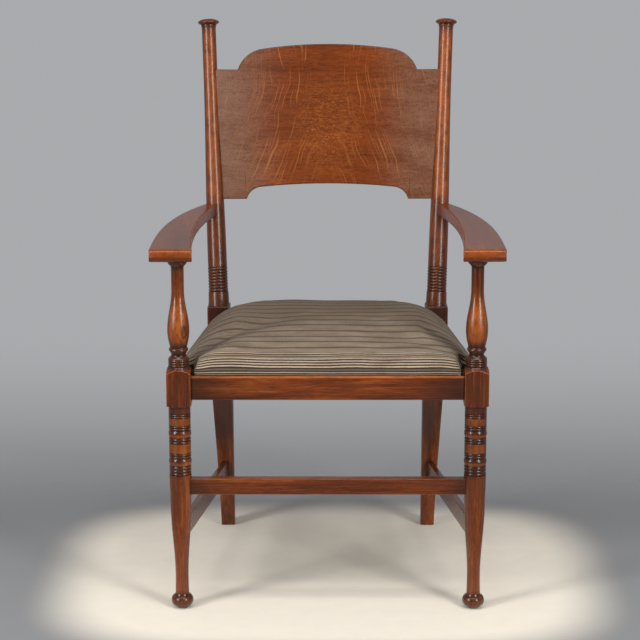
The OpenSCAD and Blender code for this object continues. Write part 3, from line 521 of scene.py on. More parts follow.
def painted_end_shade(length, t, reach=0.05):
    """Negative wear near both ends of a bar: painted shade where it meets the legs."""
    return -0.8 * np.exp(-(np.minimum(t, 1 - t) * length / reach) ** 2)


def rounded_outline(corners, radii, arc=5):
    """A closed outline through corners, each rounded by an arc that touches both its sides."""
    points = []
    count = len(corners)
    corners = np.array(corners, float)
    for k in range(count):
        here, before, after = corners[k], corners[k - 1], corners[(k + 1) % count]
        a = (before - here) / np.linalg.norm(before - here)
        b = (after - here) / np.linalg.norm(after - here)
        half = math.acos(np.clip(a @ b, -1, 1)) / 2
        tangent = radii[k] / math.tan(half)
        middle = here + (a + b) / np.linalg.norm(a + b) * radii[k] / math.sin(half)
        first = math.atan2(*(here + a * tangent - middle)[::-1])
        last = math.atan2(*(here + b * tangent - middle)[::-1])
        sweep = (last - first + math.pi) % (2 * math.pi) - math.pi
        turn = first + sweep * np.linspace(0, 1, arc)
        points.append(middle + radii[k] * np.column_stack((np.cos(turn), np.sin(turn))))
    share = np.array([0.03, 0.2, 0.5, 0.8, 0.97])[:, None]
    straights = [a[-1] + (b[0] - a[-1]) * share for a, b in zip(points, points[1:] + points[:1])]
    return np.concatenate([part for pair in zip(points, straights) for part in pair])


def side_line(y, off):
    """The x of the line from the front leg's centre to the post's centre at depth y, off to its outside."""
    return FRONT_X - (y - FRONT_Y) * SIDE_SLOPE + off / math.cos(SIDE_ANGLE)


# Materials

class Signal:
    """What a node gives out: a number, a colour or a place. +, -, * and ** on signals are Math nodes."""

    def __init__(self, socket):
        self.socket = socket
        self.tree = socket.id_data

    def maths(self, operation, *others, clamp=False):
        """The result of one Math node on this signal and on other signals or numbers."""
        return signal(self.tree, "ShaderNodeMath", dict(enumerate((self, *others))), operation=operation,
                      use_clamp=clamp)

    def __add__(self, other):
        return self.maths("ADD", other)

    def __sub__(self, other):
        return self.maths("SUBTRACT", other)

    def __mul__(self, other):
        return self.maths("MULTIPLY", other)

    def __pow__(self, other):
        return self.maths("POWER", other)


def add(tree, kind, inputs=None, **attributes):
    """A node of a kind, with its attributes set and each input set to a value or linked to a signal."""
    made = tree.nodes.new(kind)
    for name, value in attributes.items():
        setattr(made, name, value)
    for key, value in (inputs or {}).items():
        if isinstance(value, Signal):
            tree.links.new(value.socket, made.inputs[key])
        else:
            made.inputs[key].default_value = value
    return made


def signal(tree, kind, inputs=None, key=0, **attributes):
    """What a new node gives out at one of its outputs."""
    return Signal(add(tree, kind, inputs, **attributes).outputs[key])


def new_material(name):
    """An empty material and its node tree."""
    made = bpy.data.materials.new(name)
    made.use_nodes = True
    made.node_tree.nodes.clear()
    return made, made.node_tree


def surfaced(made, inputs, height=None, strength=0.0, distance=0.0):
    """Ends a material with a shader of these inputs, and with relief where a height is given."""
    tree = made.node_tree
    if height is not None:
        inputs["Normal"] = signal(tree, "ShaderNodeBump", {"Strength": strength, "Distance": distance,
                                                           "Height": height})
    add(tree, "ShaderNodeOutputMaterial", {"Surface": signal(tree, "ShaderNodeBsdfPrincipled", inputs)})
    return made


def rgba(value):
    """A grey level or a colour with full alpha. A signal stays as it is."""
    if isinstance(value, Signal):
        return value
    return (*value, 1.0) if hasattr(value, "__len__") else (value, value, value, 1.0)


def ramp(factor, stops, mode="LINEAR"):
    """A colour ramp with (place, colour) stops. A colour is a grey level or three numbers."""
    made = add(factor.tree, "ShaderNodeValToRGB", {"Fac": factor})
    made.color_ramp.interpolation = mode
    points = made.color_ramp.elements
    while len(points) < len(stops):
        points.new(0.5)
    for point, (place, value) in zip(points, stops):
        point.position = place
        point.color = rgba(value)
    return Signal(made.outputs["Color"])


def mix(factor, a, b):
    """Two colours mixed."""
    return signal(factor.tree, "ShaderNodeMix", {0: factor, 6: rgba(a), 7: rgba(b)}, 2, data_type="RGBA")


def noise(place, scale, detail=3.0, rough=0.55, distortion=0.0):
    """A noise value."""
    return signal(place.tree, "ShaderNodeTexNoise", {"Vector": place, "Scale": scale, "Detail": detail,
                                                     "Roughness": rough, "Distortion": distortion}, "Fac")


def object_place(tree):
    """The place on the object, in metres."""
    return signal(tree, "ShaderNodeTexCoord", key="Object")


def wear_value(tree):
    """The wear that is kept at each point of a mesh."""
    return signal(tree, "ShaderNodeAttribute", key="Fac", attribute_name="wear")


def apart(place):
    """The three numbers of a place."""
    return [Signal(socket) for socket in add(place.tree, "ShaderNodeSeparateXYZ", {0: place}).outputs]


def together(x, y, z):
    """The place that three numbers give."""
    return signal(x.tree, "ShaderNodeCombineXYZ", {0: x, 1: y, 2: z})


def mapped(place, **inputs):
    """A place that is turned, moved or stretched."""
    return signal(place.tree, "ShaderNodeMapping", {"Vector": place, **inputs})


GRAIN_TURN = {"X": (0, 0, 0), "Y": (0, 0, math.pi / 2), "Z": (0, math.pi / 2, 0)}


def grain_space(tree, axis, place, along, across):
    """Object coordinates turned so that the grain runs along X, and stretched along it."""
    lengthwise = mapped(object_place(tree), Rotation=GRAIN_TURN[axis], Location=place)
    return mapped(lengthwise, Scale=(along, across, across))


def wood(name, finish, axis, seed, tone, flecks=0.0, contrast=1.0, haze=0.0, knot=None):
    """Stained and polished wood: broad bands of tone, streaks and fine pores along the grain, ray flecks
    across it with a painted grey reflection towards both sides, rubbed edges, painted light, dark recesses
    and painted shade from the wear value, and a polish that is uneven. haze makes the polish duller and
    knot, an (x, z) place on the front, adds a small oval knot."""
    made, tree = new_material(name)
    place = (seed, seed * 0.7, seed * 1.3)
    broad = noise(grain_space(tree, axis, place, 2.2, 22), 1.0, 3, 0.6, 0.8)
    streak = noise(grain_space(tree, axis, place, 9, 260), 1.0, 5, 0.7, 0.5)
    pore = noise(grain_space(tree, axis, place, 60, 1300), 1.0, 2, 0.5)
    mottle = noise(grain_space(tree, axis, place, 40, 90), 1.0, 3)
    figure = (broad + streak) * (0.5 * contrast) + (0.5 - 0.5 * contrast)
    dark, middle, light, gold = (np.array(c) * tone for c in (finish.dark, finish.middle, finish.light,
                                                              finish.gold))
    base = ramp(figure, [(0.33, dark * 1.2), (0.44, middle * 0.75), (0.53, middle * 1.25),
                         (0.66, light * 0.75)])
    open_pore = ramp(pore, [(0.36, 1.0), (0.46, 0.0)])
    if flecks:
        marks, painted_sheen = ray_flecks(tree)
        # Painted reflection mixed in towards the board's sides
        painted_sheen_share = painted_sheen.maths("MULTIPLY", ramp(figure, [(0.46, 0.55), (0.54, 1.3)]), clamp=True)
        base = mix(painted_sheen_share, base, finish.painted_sheen)
    base = mix(open_pore * 0.6, base, dark)
    if flecks:
        base = mix(marks * flecks, base, gold)
    wear = wear_value(tree)
    # Positive wear lightens the colour: rubbed wood, and on turned zones painted light on the front
    rub_and_painted_light = wear.maths("MAXIMUM", 0.0) * ramp(mottle, [(0.30, 0.15), (0.62, 1.0)])
    base = mix(rub_and_painted_light.maths("MULTIPLY", 0.85, clamp=True), base, light)
    # Negative wear darkens the colour: stain in grooves, and painted shade on sides, undersides and ends of
    # bars
    stain_and_painted_shade = wear.maths("MULTIPLY", -0.9, clamp=True)
    base = mix(stain_and_painted_shade, base, dark * 0.6)
    if knot:
        base = mix(knot_mark(tree, knot), base, middle * 0.45)
    uneven = (streak - 0.5) * (4.0 * contrast) + (mottle - 0.5)
    polish = uneven * 0.06 + (stain_and_painted_shade * 0.08 + (finish.roughness + haze))
    dull = (wear - 0.62).maths("MAXIMUM", 0.0) * 1.1 + (0.1 + haze)
    return surfaced(made, {"Base Color": base, "Roughness": polish, "Specular IOR Level": 0.28,
                           "Coat Weight": finish.coat, "Coat Roughness": dull},
                    open_pore * -0.6 + streak * 0.8, 0.3 * contrast, 0.0003)


def knot_mark(tree, place):
    """A small upright oval on the front: a dark rim round a paler middle."""
    half_wide, half_tall = 0.0048, 0.0125
    x, y, z = apart(object_place(tree))
    x, z = (x - place[0]) * (1 / half_wide), (z - place[1]) * (1 / half_tall)
    away = (x * x + z * z).maths("SQRT")
    mark = ramp(away * 0.5, [(0.18, 0.25), (0.42, 0.85), (0.58, 0.0)], "EASE")
    return mark * y.maths("LESS_THAN", FRONT_Y)


def ray_flecks(tree):
    """Thin upright flecks on a board whose grain runs across: narrow spots of a noise in a leaning
    distance from the middle line and the height, so that the two halves lean towards each other, with
    short ripples in a patch about the middle. Also a painted reflection, a grey sheen that grows towards
    both sides."""
    board_middle = 0.83
    source = object_place(tree)
    x, y, z = apart(source)
    z = z - board_middle
    away = (x * x + 0.0012).maths("SQRT")
    sway = noise(mapped(source, Scale=(7, 1, 8)), 1.0, 2)
    lean = z * (z * -0.9 + 0.24) + (sway * 0.05 + away)
    fleck = ramp(noise(together(lean * 420, x, z * 9), 1.0, 2, 0.5, 0.3), [(0.59, 0.0), (0.67, 1.0)])
    fleck = fleck * ramp(away, [(0.036, 0.0), (0.052, 1.0), (0.12, 0.9), (0.18, 0.45)])
    ripple = ramp(noise(together(x * 120, x, z * 300), 1.0, 2, 0.6, 1.6), [(0.50, 0.0), (0.60, 1.0)])
    near = ramp((away * 11) ** 2 + (z * 8) ** 2, [(0.05, 0.7), (1.0, 0.0)])
    marks = (fleck * 0.8).maths("MAXIMUM", ripple * near)
    return marks, ramp(away, [(0.08, 0.0), (0.19, 0.5)], "EASE")


def plain_wood(name, seed):
    """Unpolished beech of the hidden frame: pale, with short brown flecks and a dry surface."""
    made, tree = new_material(name)
    place = (seed, 0.3 * seed, 0.1)
    tone = noise(grain_space(tree, "X", place, 4, 30), 1.0, 4)
    fleck = noise(grain_space(tree, "X", place, 90, 700), 1.0, 2)
    base = ramp(tone, [(0.3, (0.30, 0.17, 0.08)), (0.7, (0.47, 0.29, 0.15))])
    base = mix(ramp(fleck, [(0.36, 0.7), (0.45, 0.0)]), base, (0.16, 0.08, 0.035))
    return surfaced(made, {"Base Color": base, "Roughness": 0.62}, fleck, 0.25, 0.0003)


def old_steel(name):
    """Dulled steel of screws and tacks, with brown rust in spots."""
    made, tree = new_material(name)
    spot = noise(object_place(tree), 260, 3)
    base = ramp(spot, [(0.42, (0.34, 0.32, 0.29)), (0.62, (0.12, 0.055, 0.025))])
    return surfaced(made, {"Base Color": base, "Roughness": spot * 0.45 + 0.2,
                           "Metallic": ramp(spot, [(0.5, 1.0), (0.62, 0.2)])})


def threads(u, v, pitch_u, pitch_v):
    """Height of a plain weave: the higher of two rows of round threads that pass over each other in turn."""
    warp = (u * (2 * math.pi / pitch_u)).maths("SINE")
    weft = (v * (2 * math.pi / pitch_v)).maths("SINE")
    over = (u * (math.pi / pitch_u)).maths("COSINE") * (v * (math.pi / pitch_v)).maths("COSINE")
    return over * 0.5 + (warp * 0.25 + weft * 0.25)


def striped_cloth(name, s):
    """Ribbed cover whose stripes run from side to side: cream lines on dark brown at a seventh of the
    repeat, of which one is left out in each repeat, and a few faint reddish threads."""
    made, tree = new_material(name)
    uv = signal(tree, "ShaderNodeUVMap", uv_map="cloth")
    u, v = apart(uv)[:2]
    wavy = (stretched(uv, (9, 14), 2) - 0.5) * 0.0022 + v
    start = wavy + (31 * s.repeat + s.band_place)
    fray = (stretched(uv, (160, 1400), 2) - 0.5) * 0.0010
    fine = start.maths("PINGPONG", s.repeat / 14) + fray
    broad = start.maths("PINGPONG", s.repeat / 2) + fray
    lying = ramp(v * 20, [(0.0, 0.0), (0.5, 0.09)])
    line = ramp(fine * 400 - lying, [(0.36, 1.0), (0.58, 0.0)])
    band = ramp(broad * 200 + lying * -4.0, [(0.42, 1.0), (0.62, 0.0)]) * (lying * -1.8 + 0.8)
    # Further back over the top the light stripes turn taupe: partly soiling where the seat is sat on, partly
    # painted shade on the top
    sat_on_and_top_shade = ramp(v * 2.5, [(0.0, 0.0), (0.05, 0.12), (0.35, 0.18), (1.0, 0.55)])
    age = stretched(uv, (14, 30), 4) + sat_on_and_top_shade
    pale = mix(ramp(age, [(0.45, 0.0), (0.85, 0.9)]), s.cream, s.taupe)
    base = mix(line * (band * -1.0 + 1.0), s.umber, pale)
    red = ramp(stretched(uv, (0.6, 260), 1), [(0.66, 0.0), (0.72, 0.35)])
    base = mix(red, base, (0.20, 0.085, 0.06))
    weave = threads(u, v, 0.0011, 0.0008)
    base = mix((weave * -0.35).maths("ADD", 0.17, clamp=True), base, s.umber)
    return surfaced(made, {"Base Color": base, "Roughness": 0.88, "Sheen Weight": 0.05,
                           "Sheen Roughness": 0.45, "Specular IOR Level": 0.12},
                    line * 0.6 + weave * 0.5, 0.6, 0.0005)


def stretched(uv, scale, detail):
    """A noise value on a UV map, with so many bumps a metre each way."""
    return noise(mapped(uv, Scale=(*scale, 1)), 1.0, detail)


def plain_cloth(name, light, dark, pitch, stripe=None):
    """Woven cloth of one colour in Object coordinates, with an optional pair of woven edge lines."""
    made, tree = new_material(name)
    source = object_place(tree)
    x, y, z = apart(source)
    weave = threads(x, y, pitch, pitch)
    base = ramp(weave * 0.5 + (noise(source, 90, 4) * 0.9 - 0.05), [(0.15, dark), (0.8, light)])
    if stripe:
        base = mix(ramp(wear_value(tree), [(0.5, 0.0), (0.6, 0.8)]), base, stripe)
    return surfaced(made, {"Base Color": base, "Roughness": 0.9, "Sheen Weight": 0.15,
                           "Specular IOR Level": 0.2}, weave, 0.7, 0.0004)


# Shapes of the wooden pieces

def drum_outline(s, low):
    """The ringed drum from the underside of the block down to its own foot: plain lengths, pairs of
    small rings and two wide bulbs, each given as (kind, share of the length). Also its zones of wear: dark
    small rings between bright plain lengths and bulbs, whose upper parts are darkened by painted shade."""
    r = s.drum / 2
    parts = [(0, 13.4), (2, 8.4), (0, 13.8), (2, 8.6), (-1, 15.2), (2, 10.5), (0, 17.8), (2, 9.3), (-1, 15.2),
             (3, 17.8)]
    whole = sum(share for kind, share in parts)
    made, zones, z = [], [], low + s.drum_length
    for kind, share in parts:
        end = z - s.drum_length * share / whole
        if kind > 0:
            made.append(beads(r + 0.0003, s.groove, z, end, kind))
        elif kind < 0:
            made.append(bulge(r - 0.9 * s.groove, 0.9 * s.groove + s.bulb, z - 0.0005, end + 0.0005, 24, 0.7))
        else:
            made.append(np.array([[r, z - 0.0004], [r, end + 0.0004]]))
        worn = -0.55 if kind > 0 else 0.5 if made[1:] else -0.4
        # A bulb's upper part is darkened by painted shade
        upper = -0.45 if kind < 0 else worn
        zones += [(z - 0.0004, upper), (0.6 * z + 0.4 * end, upper), (0.4 * z + 0.6 * end, worn),
                  (end + 0.0004, worn)]
        z = end
    return made, zones


def front_leg_outline(s):
    """The whole front leg as the lathe leaves it, from the pin in the arm down to the tread. At the
    block the lathe only cuts the arched shoulders, so the radius passes beyond the square's corners.
    Also its zones of wear."""
    r = s.drum / 2
    collar_height, cove_height, shoulder_run, pin, pin_up = 0.014, 0.0085, 0.060, 0.0095, 0.012
    block_top, block_low = RAIL_TOP + s.block_rise, RAIL_TOP - s.block_drop
    belly_z = block_top + s.belly_up
    top_z = block_top + s.base_height
    collar_z = top_z - collar_height
    disc_z = collar_z - cove_height
    drum_low = block_low - s.drum_length
    taper_z = drum_low - shoulder_run
    far = s.block * math.sqrt(0.5) + 0.0005
    cup, neck, belly, collar, cove = (d / 2 for d in (s.cup, s.neck, s.belly, s.collar, s.cove))
    ring, ankle, bun = s.base_ring / 2, s.ankle / 2, s.bun / 2
    drum, drum_zones = drum_outline(s, drum_low)
    zones = [(ARM_UNDER, -0.5), (ARM_UNDER - s.cup_height, -0.4), (belly_z + s.belly_run - 0.012, 0.3),
             (belly_z + 0.030, 0.85), (belly_z - 0.012, 0.85), (top_z + 0.008, 0.15), (top_z + 0.003, -0.5),
             (block_top, -0.5), (block_top - 0.002, 0), (block_low, 0), *drum_zones, (drum_low - 0.001, 0.1),
             (s.bun_height + 0.003, 0.1), (s.bun_height, -0.5), (0.55 * s.bun_height, -0.5), (0, -0.4)]
    return np.concatenate([
        [[pin, ARM_UNDER + pin_up], [pin, ARM_UNDER + 0.0002], [cup - 0.0006, ARM_UNDER + 0.0002],
         [cup, ARM_UNDER - 0.0008], [cup, ARM_UNDER - 0.3 * s.cup_height]],
        ease(cup - 0.001, neck, ARM_UNDER - 0.4 * s.cup_height, ARM_UNDER - s.cup_height),
        ease(neck, belly, belly_z + s.belly_run, belly_z, 40),
        waist(belly, collar - 0.0022, belly_z - 0.001, top_z, 24),
        bulge(collar - 0.0026, 0.0026, top_z - 0.001, collar_z + 0.004),
        ease(collar - 0.0026, cove, collar_z + 0.004, collar_z),
        ease(cove, ring - 0.0006, collar_z - 0.0015, disc_z),
        beads(ring, 0.0013, disc_z, block_top + 0.002, 3),
        [[ring, block_top + 0.001], [s.block / 2, block_top - s.cone], [far, block_top - s.cone - s.arch],
         [far, block_low + 0.0025], [s.block / 2, block_low], [r, block_low]],
        *drum,
        ease(r + 0.0004, r - 0.001, drum_low, taper_z),
        ease(r - 0.0011, ankle, taper_z - 0.001, s.bun_height + s.ankle_length, 30),
        [[ankle + 0.0005, s.bun_height + 0.002], [ankle + 0.0016, s.bun_height],
         [ankle + 0.0024, s.bun_height - 0.0014]],
        dome(ankle + 0.0022, bun, s.bun_height - 0.002, s.bun_height * 0.57),
        [[bun, s.bun_height * 0.53]],
        waist(bun, s.tread / 2, s.bun_height / 2, 0, 24)]), zones


def front_leg(s):
    """A lathe turning cut by a square prism: at each height and angle the radius is the soft minimum of
    the lathe's radius and of a square with slightly rounded corners."""
    outline, zones = front_leg_outline(s)
    arch_top = RAIL_TOP + s.block_rise - s.cone + 0.001
    arch_low = arch_top - s.arch - 0.002
    line, stands_out = polished(outline, 460, 0.00025, close=(arch_low, arch_top))
    turn = angles(128, 0.72)
    power, soft = 48, 0.0003
    square = s.block / 2 * (np.abs(np.cos(turn)) ** power + np.abs(np.sin(turn)) ** power) ** (-1 / power)
    radius = -soft * np.logaddexp(-line[:, :1] / soft, -square / soft)
    corner = np.exp(-((turn % (np.pi / 2) - np.pi / 4) / 0.045) ** 2)
    cut_flat = line[:, :1] > square + 0.0005
    wear = np.where(cut_flat, 0.8 * corner - 0.3, rubbed(line, stands_out, turn, zones))
    shoulder = (line[:, 1:] > arch_low) & (line[:, 1:] < arch_top)
    arris = np.exp(-((line[:, :1] - square - 0.0002) / 0.0008) ** 2)
    wear = np.where(shoulder, np.maximum(wear, 1.5 * arris - 0.4), wear)
    return skin(rings_of(FRONT_X + radius * np.cos(turn), FRONT_Y + radius * np.sin(turn), line[:, 1:]), wear)


def post_frame(s):
    """The matrix of a post's turned part: it stands on the block, splays outwards and leans back."""
    base = Matrix.Translation((s.centre, BACK_FACE + s.inset - s.block / 2, RAIL_TOP + s.block_rise))
    return base @ Matrix.Rotation(-s.lean, 4, "X") @ Matrix.Rotation(s.splay, 4, "Y")


def carried(matrix, points):
    """Points moved by a matrix."""
    m = np.array(matrix)
    return points @ m[:3, :3].T + m[:3, 3]


def post_length(s):
    """Length of a post's turned part, from the block to the middle of its cap, beside which the leaning
    cap rises a little more."""
    cap_tilt = 0.0007
    return (CHAIR_TOP - cap_tilt - RAIL_TOP - s.block_rise) / (math.cos(s.lean) * math.cos(s.splay))


def post_turning(s):
    """The turned upper part of a back post: domed cap, long taper and a row of rings above the block."""
    top = post_length(s)
    cap_z = top - s.cap_height
    ring_end = s.ring_start + s.rings * s.ring_pitch
    taper_z = ring_end + 0.012
    cap, upper, middle, base = (d / 2 for d in (s.cap, s.top, s.middle, s.base))
    line, stands_out = polished(np.concatenate([
        dome(0.0003, cap, top, cap_z + 0.004, 24),
        [[cap - 0.0006, cap_z + 0.0026], [cap - 0.003, cap_z + 0.0008], [upper + 0.002, cap_z]],
        ease(upper + 0.0014, upper, cap_z - 0.0005, cap_z - 0.009),
        ease(upper, middle, taper_z + s.taper, taper_z, 60),
        [[middle, ring_end + 0.0005]],
        beads(middle + 0.0006, s.groove, ring_end, s.ring_start, s.rings),
        [[base - 0.0006, s.ring_start - 0.0005], [base, 0.004], [base, -0.010]]]), 330, 0.00028, 0.006)
    # Just below the arm, near 0.19 m up the post, the zone is darker: painted shade of the arm
    zones = [(top, -0.15), (cap_z - 0.010, 0.1), (cap_z - 0.030, 0.6), (0.230, 0.6), (0.190, -0.1),
             (0.140, 0.1), (ring_end + 0.002, -0.35), (ring_end, -0.5), (-0.010, -0.5)]
    turn = angles(80)
    return skin(carried(post_frame(s), turned(line, turn)), rubbed(line, stands_out, turn, zones))


def leg_edges(s, z):
    """Outer and inner x and front and back y of a back leg at heights z. The outside narrows along a
    power curve, the inside along a short straight taper, and the front and back bend back together."""
    y = BACK_FACE + s.inset - s.block / 2
    half = s.block / 2
    outer = s.heel - s.heel_in + (half - s.heel + s.heel_in) * np.clip(z / RAIL_LOW, 0, 1) ** s.flare
    inner = s.heel_in - (s.heel_in - half) * np.clip((z - RAIL_LOW + s.inner_taper) / s.inner_taper, 0, 1)
    bend = np.clip(1 - z / s.knee, 0, 1) ** s.bend
    front = y - half + (s.heel_back - s.heel / 2 + half) * bend
    back = y + half + (s.heel_back + s.heel / 2 - half) * bend
    return s.centre + outer, s.centre - inner, front, back


def back_leg(s):
    """The square lower part of a back post: rounded rectangles between its four edge curves, drawn in
    along a bevel at the top and a little at the foot."""
    top = RAIL_TOP + s.block_rise
    z = np.concatenate(([0, 0.0006, 0.0015], np.linspace(0.005, top - s.bevel - 0.001, 150),
                        top - s.bevel * np.array([1, 0.75, 0.5, 0.25, 0.08, 0])))
    inset = np.interp(z, [0, 0.0006, 0.0015, top - s.bevel * 1.1, top - s.bevel * 0.9, top],
                      [0.0012, 0.0004, 0, 0, s.bevel * 0.1, s.bevel])
    outer, inner, front, back = leg_edges(s, z)
    flat, wear = sections((outer - inner) / 2 - inset, (back - front) / 2 - inset, np.full(len(z), 0.0014))
    rings = rings_of((outer + inner)[:, None] / 2 + flat[..., 0], (front + back)[:, None] / 2 + flat[..., 1],
                     z[:, None])
    # Darker by height: darkest from 0.21 to 0.27 m up and on the block above the rails
    darker_by_height = np.interp(z, [0, 0.15, 0.21, 0.27, 0.34, RAIL_LOW, RAIL_TOP, RAIL_TOP + 0.008],
                        [-0.15, -0.3, -0.8, -0.7, -0.4, -0.4, -0.7, -0.9])
    return skin(rings, 0.6 * wear + darker_by_height[:, None])


def arch(x, z, r, start, end, rise):
    """Half of the board's edge: an arc from the corner (x, z), then a parabola that is level at x = 0."""
    turn = np.linspace(start, end, 40)
    cx, cz = x - r * math.cos(start), z - r * math.sin(start)
    curve = np.column_stack((cx + r * np.cos(turn), cz + r * np.sin(turn)))
    t = np.linspace(0, 1, 40)[1:]
    ex, ez = curve[-1]
    return np.concatenate((curve, np.column_stack((ex * (1 - t), ez + (z + rise - ez) * (1 - (1 - t) ** 2)))))


def evened(line, count, soft=0.0006, step=0.0004):
    """A flat line rounded by a running average and drawn again with points at an even distance."""
    run = run_along(line)
    smooth = averaged(read_at(line, run, np.arange(0, run[-1], step)), soft / step)
    return read_at(smooth, np.arange(len(smooth)), np.linspace(0, len(smooth) - 1, count))


def back_board(s, p):
    """The bowed board: loops round its thickness, each from a point of the upper edge to one of the lower
    edge and back, bent round an upright cylinder and leaned back with the posts."""
    low = post_length(p) - s.drop - s.end
    high = low + s.end
    at_low, at_high = (p.centre + h * math.tan(p.splay) for h in (low, high))
    crest = arch(s.crest_shoulder - at_high, high, s.crest_radius, s.crest_start, s.arc_end, s.crest)
    skirt = arch(s.skirt_shoulder - at_low, low, s.skirt_radius, s.skirt_start, s.arc_end, s.skirt)
    edges = []
    for line, at, z, way in ((crest, at_high, high, 1), (skirt, at_low, low, -1)):
        half = np.concatenate(([[0.006 - at, z]], line))
        whole = evened(np.concatenate((half, half[-2::-1] * (-1, 1))), 420)
        along = np.gradient(whole, axis=0)
        normal = way * np.column_stack((-along[:, 1], along[:, 0])) / np.hypot(*along.T)[:, None]
        edges.append((whole - normal * s.edge, normal))
    (upper, up), (lower, down) = edges
    arc = 11
    turn = np.linspace(0, np.pi, arc)[:, None, None]
    share = (0.5 - 0.5 * np.cos(np.pi * np.linspace(0, 1, 46)))[1:-1, None, None]
    half = s.thick / 2
    depth = half - s.edge
    reach = s.edge * np.sin(turn)
    side = -(depth * np.sign(np.cos(turn)) + s.edge * np.cos(turn))
    side[arc // 2] = 0
    over, under = upper + up * reach, lower + down * reach
    flat_front, flat_back = upper + (lower - upper) * share, lower + (upper - lower) * share
    plan = np.concatenate((over[::-1], flat_front, under, flat_back))
    face, flat = np.full(len(share), half), np.zeros(len(share))
    deep = np.concatenate((side[::-1, 0, 0], -face, side[:, 0, 0], face))[:, None]
    bow_radius = (p.centre ** 2 + s.bow ** 2) / (2 * s.bow)
    x, z = plan[..., 0], plan[..., 1]
    y = s.bow - bow_radius + np.sqrt((bow_radius + deep) ** 2 - x ** 2)
    base = Matrix.Translation((0, BACK_FACE + p.inset - p.block / 2, RAIL_TOP + p.block_rise))
    rings = carried(base @ Matrix.Rotation(-p.lean, 4, "X"), rings_of(x, y, z).transpose(1, 0, 2))
    return skin(rings, np.concatenate((np.full(arc, -0.25), flat, np.full(arc, -0.1), flat))[None, :])


def bezier(p, t):
    """A cubic curve of four numbers."""
    return p[0] * (1 - t) ** 3 + 3 * p[1] * (1 - t) ** 2 * t + 3 * p[2] * (1 - t) * t ** 2 + p[3] * t ** 3


def arm(s, p):
    """An arm: rounded rectangles between two plan curves, from a rounded nose back to the post."""
    mid = (ARM_TOP + ARM_UNDER) / 2
    up = (mid - RAIL_TOP - p.block_rise) / math.cos(p.lean)
    end_x = p.centre + up * math.tan(p.splay) + s.beside
    end_y = BACK_FACE + p.inset - p.block / 2 + up * math.sin(p.lean) - s.before
    side = FRONT_X + s.out
    nose_y = FRONT_Y - s.reach
    run = BACK_Y - FRONT_Y
    along = [nose_y, FRONT_Y + 0.267 * run, FRONT_Y + 0.667 * run, end_y]
    outer = [side, side - 0.0005, side + 0.001, end_x + s.back_width / 2]
    inner = [side - s.width, side - s.width + 0.014, side - s.width + 0.022, end_x - s.back_width / 2]
    a = np.linspace(0, np.pi / 2, 12)
    back_off = s.nose * (1 - np.cos(a))
    t_nose = back_off / (3 * (along[1] - along[0]))
    t_body = np.linspace(t_nose[-1], 1, 90)[1:]
    t = np.concatenate((t_nose, t_body))
    y = np.concatenate((nose_y + back_off, bezier(along, t_body)))
    inset = np.concatenate((s.nose * (1 - np.sin(a)) * 0.8, np.zeros(len(t_body))))
    x1, x0 = bezier(outer, t) - 0.15 * inset, bezier(inner, t) + 0.15 * inset
    half_w, half_h = (x1 - x0) / 2, (ARM_TOP - ARM_UNDER) / 2 - inset
    flat, wear = sections(half_w, half_h - s.crown, np.full(len(t), s.edge), 7, 12)
    crown = s.crown * (1 - (flat[..., 0] / half_w[:, None]) ** 2) * np.sign(flat[..., 1])
    rings = rings_of(flat[..., 0] + (x0 + x1)[:, None] / 2, y[:, None], flat[..., 1] + crown + mid)
    # The lowest part of the section is darkened by painted shade under the arm; the nose is rubbed brighter
    low = flat[..., 1] < -0.6 * half_h[:, None]
    return skin(rings, 0.1 * wear + np.where(low, -0.45, 0.25 * (inset > 0)[:, None]))


def rail(profile, hub, start, end, axis):
    """A profile of (depth inwards, height) points carried along a straight line. The end faces are fans
    round the hub, a point of the profile that sees its whole outline."""
    start, end = np.array(start, float), np.array(end, float)
    inward, up = np.array(axis, float), np.array((0, 0, 1.0))
    t = np.linspace(0, 1, 40)[:, None, None]
    rings = start + (end - start) * t + profile[:, :1] * inward + profile[:, 1:] * up
    middle = hub[0] * inward + hub[1] * up
    arris = (profile[:, 1] > RAIL_TOP - 0.0035) & (profile[:, 0] < 0.004)
    wear = np.where(arris, 0.9, -0.1)[None, :]
    return skin(rings, wear + painted_end_shade(np.linalg.norm(end - start), t[:, :, 0], 0.075),
                np.stack((start + middle, end + middle)))


def rail_profile(s):
    """Section of a rail: a lip with a rounded upper edge outside, and the rebate for the seat behind it."""
    lip, thick = s.lip, s.rail
    corners = [(0, RAIL_LOW), (0, RAIL_TOP), (lip, RAIL_TOP), (lip, LEDGE), (thick, LEDGE), (thick, RAIL_LOW)]
    return rounded_outline(corners, [s.edge, s.rail_edge, s.edge * 0.8, s.edge * 0.6, s.edge, s.edge])


# The loose seat

NOTCH_FRONT = frame_side_box[0].y
NOTCH_BACK = frame_side_box[1].y
SEAT_FRONT = frame_front_box[0].y
SEAT_BACK = frame_back_box[1].y
FRAME_TOP = frame_front_box[1].z
SEAT_MIDDLE = np.array((0.0, (SEAT_FRONT + SEAT_BACK) / 2))


def seat_side(y):
    """The x of the seat frame's right-hand side at depth y."""
    return frame_side_box[1].x - (y - NOTCH_FRONT) * SIDE_SLOPE


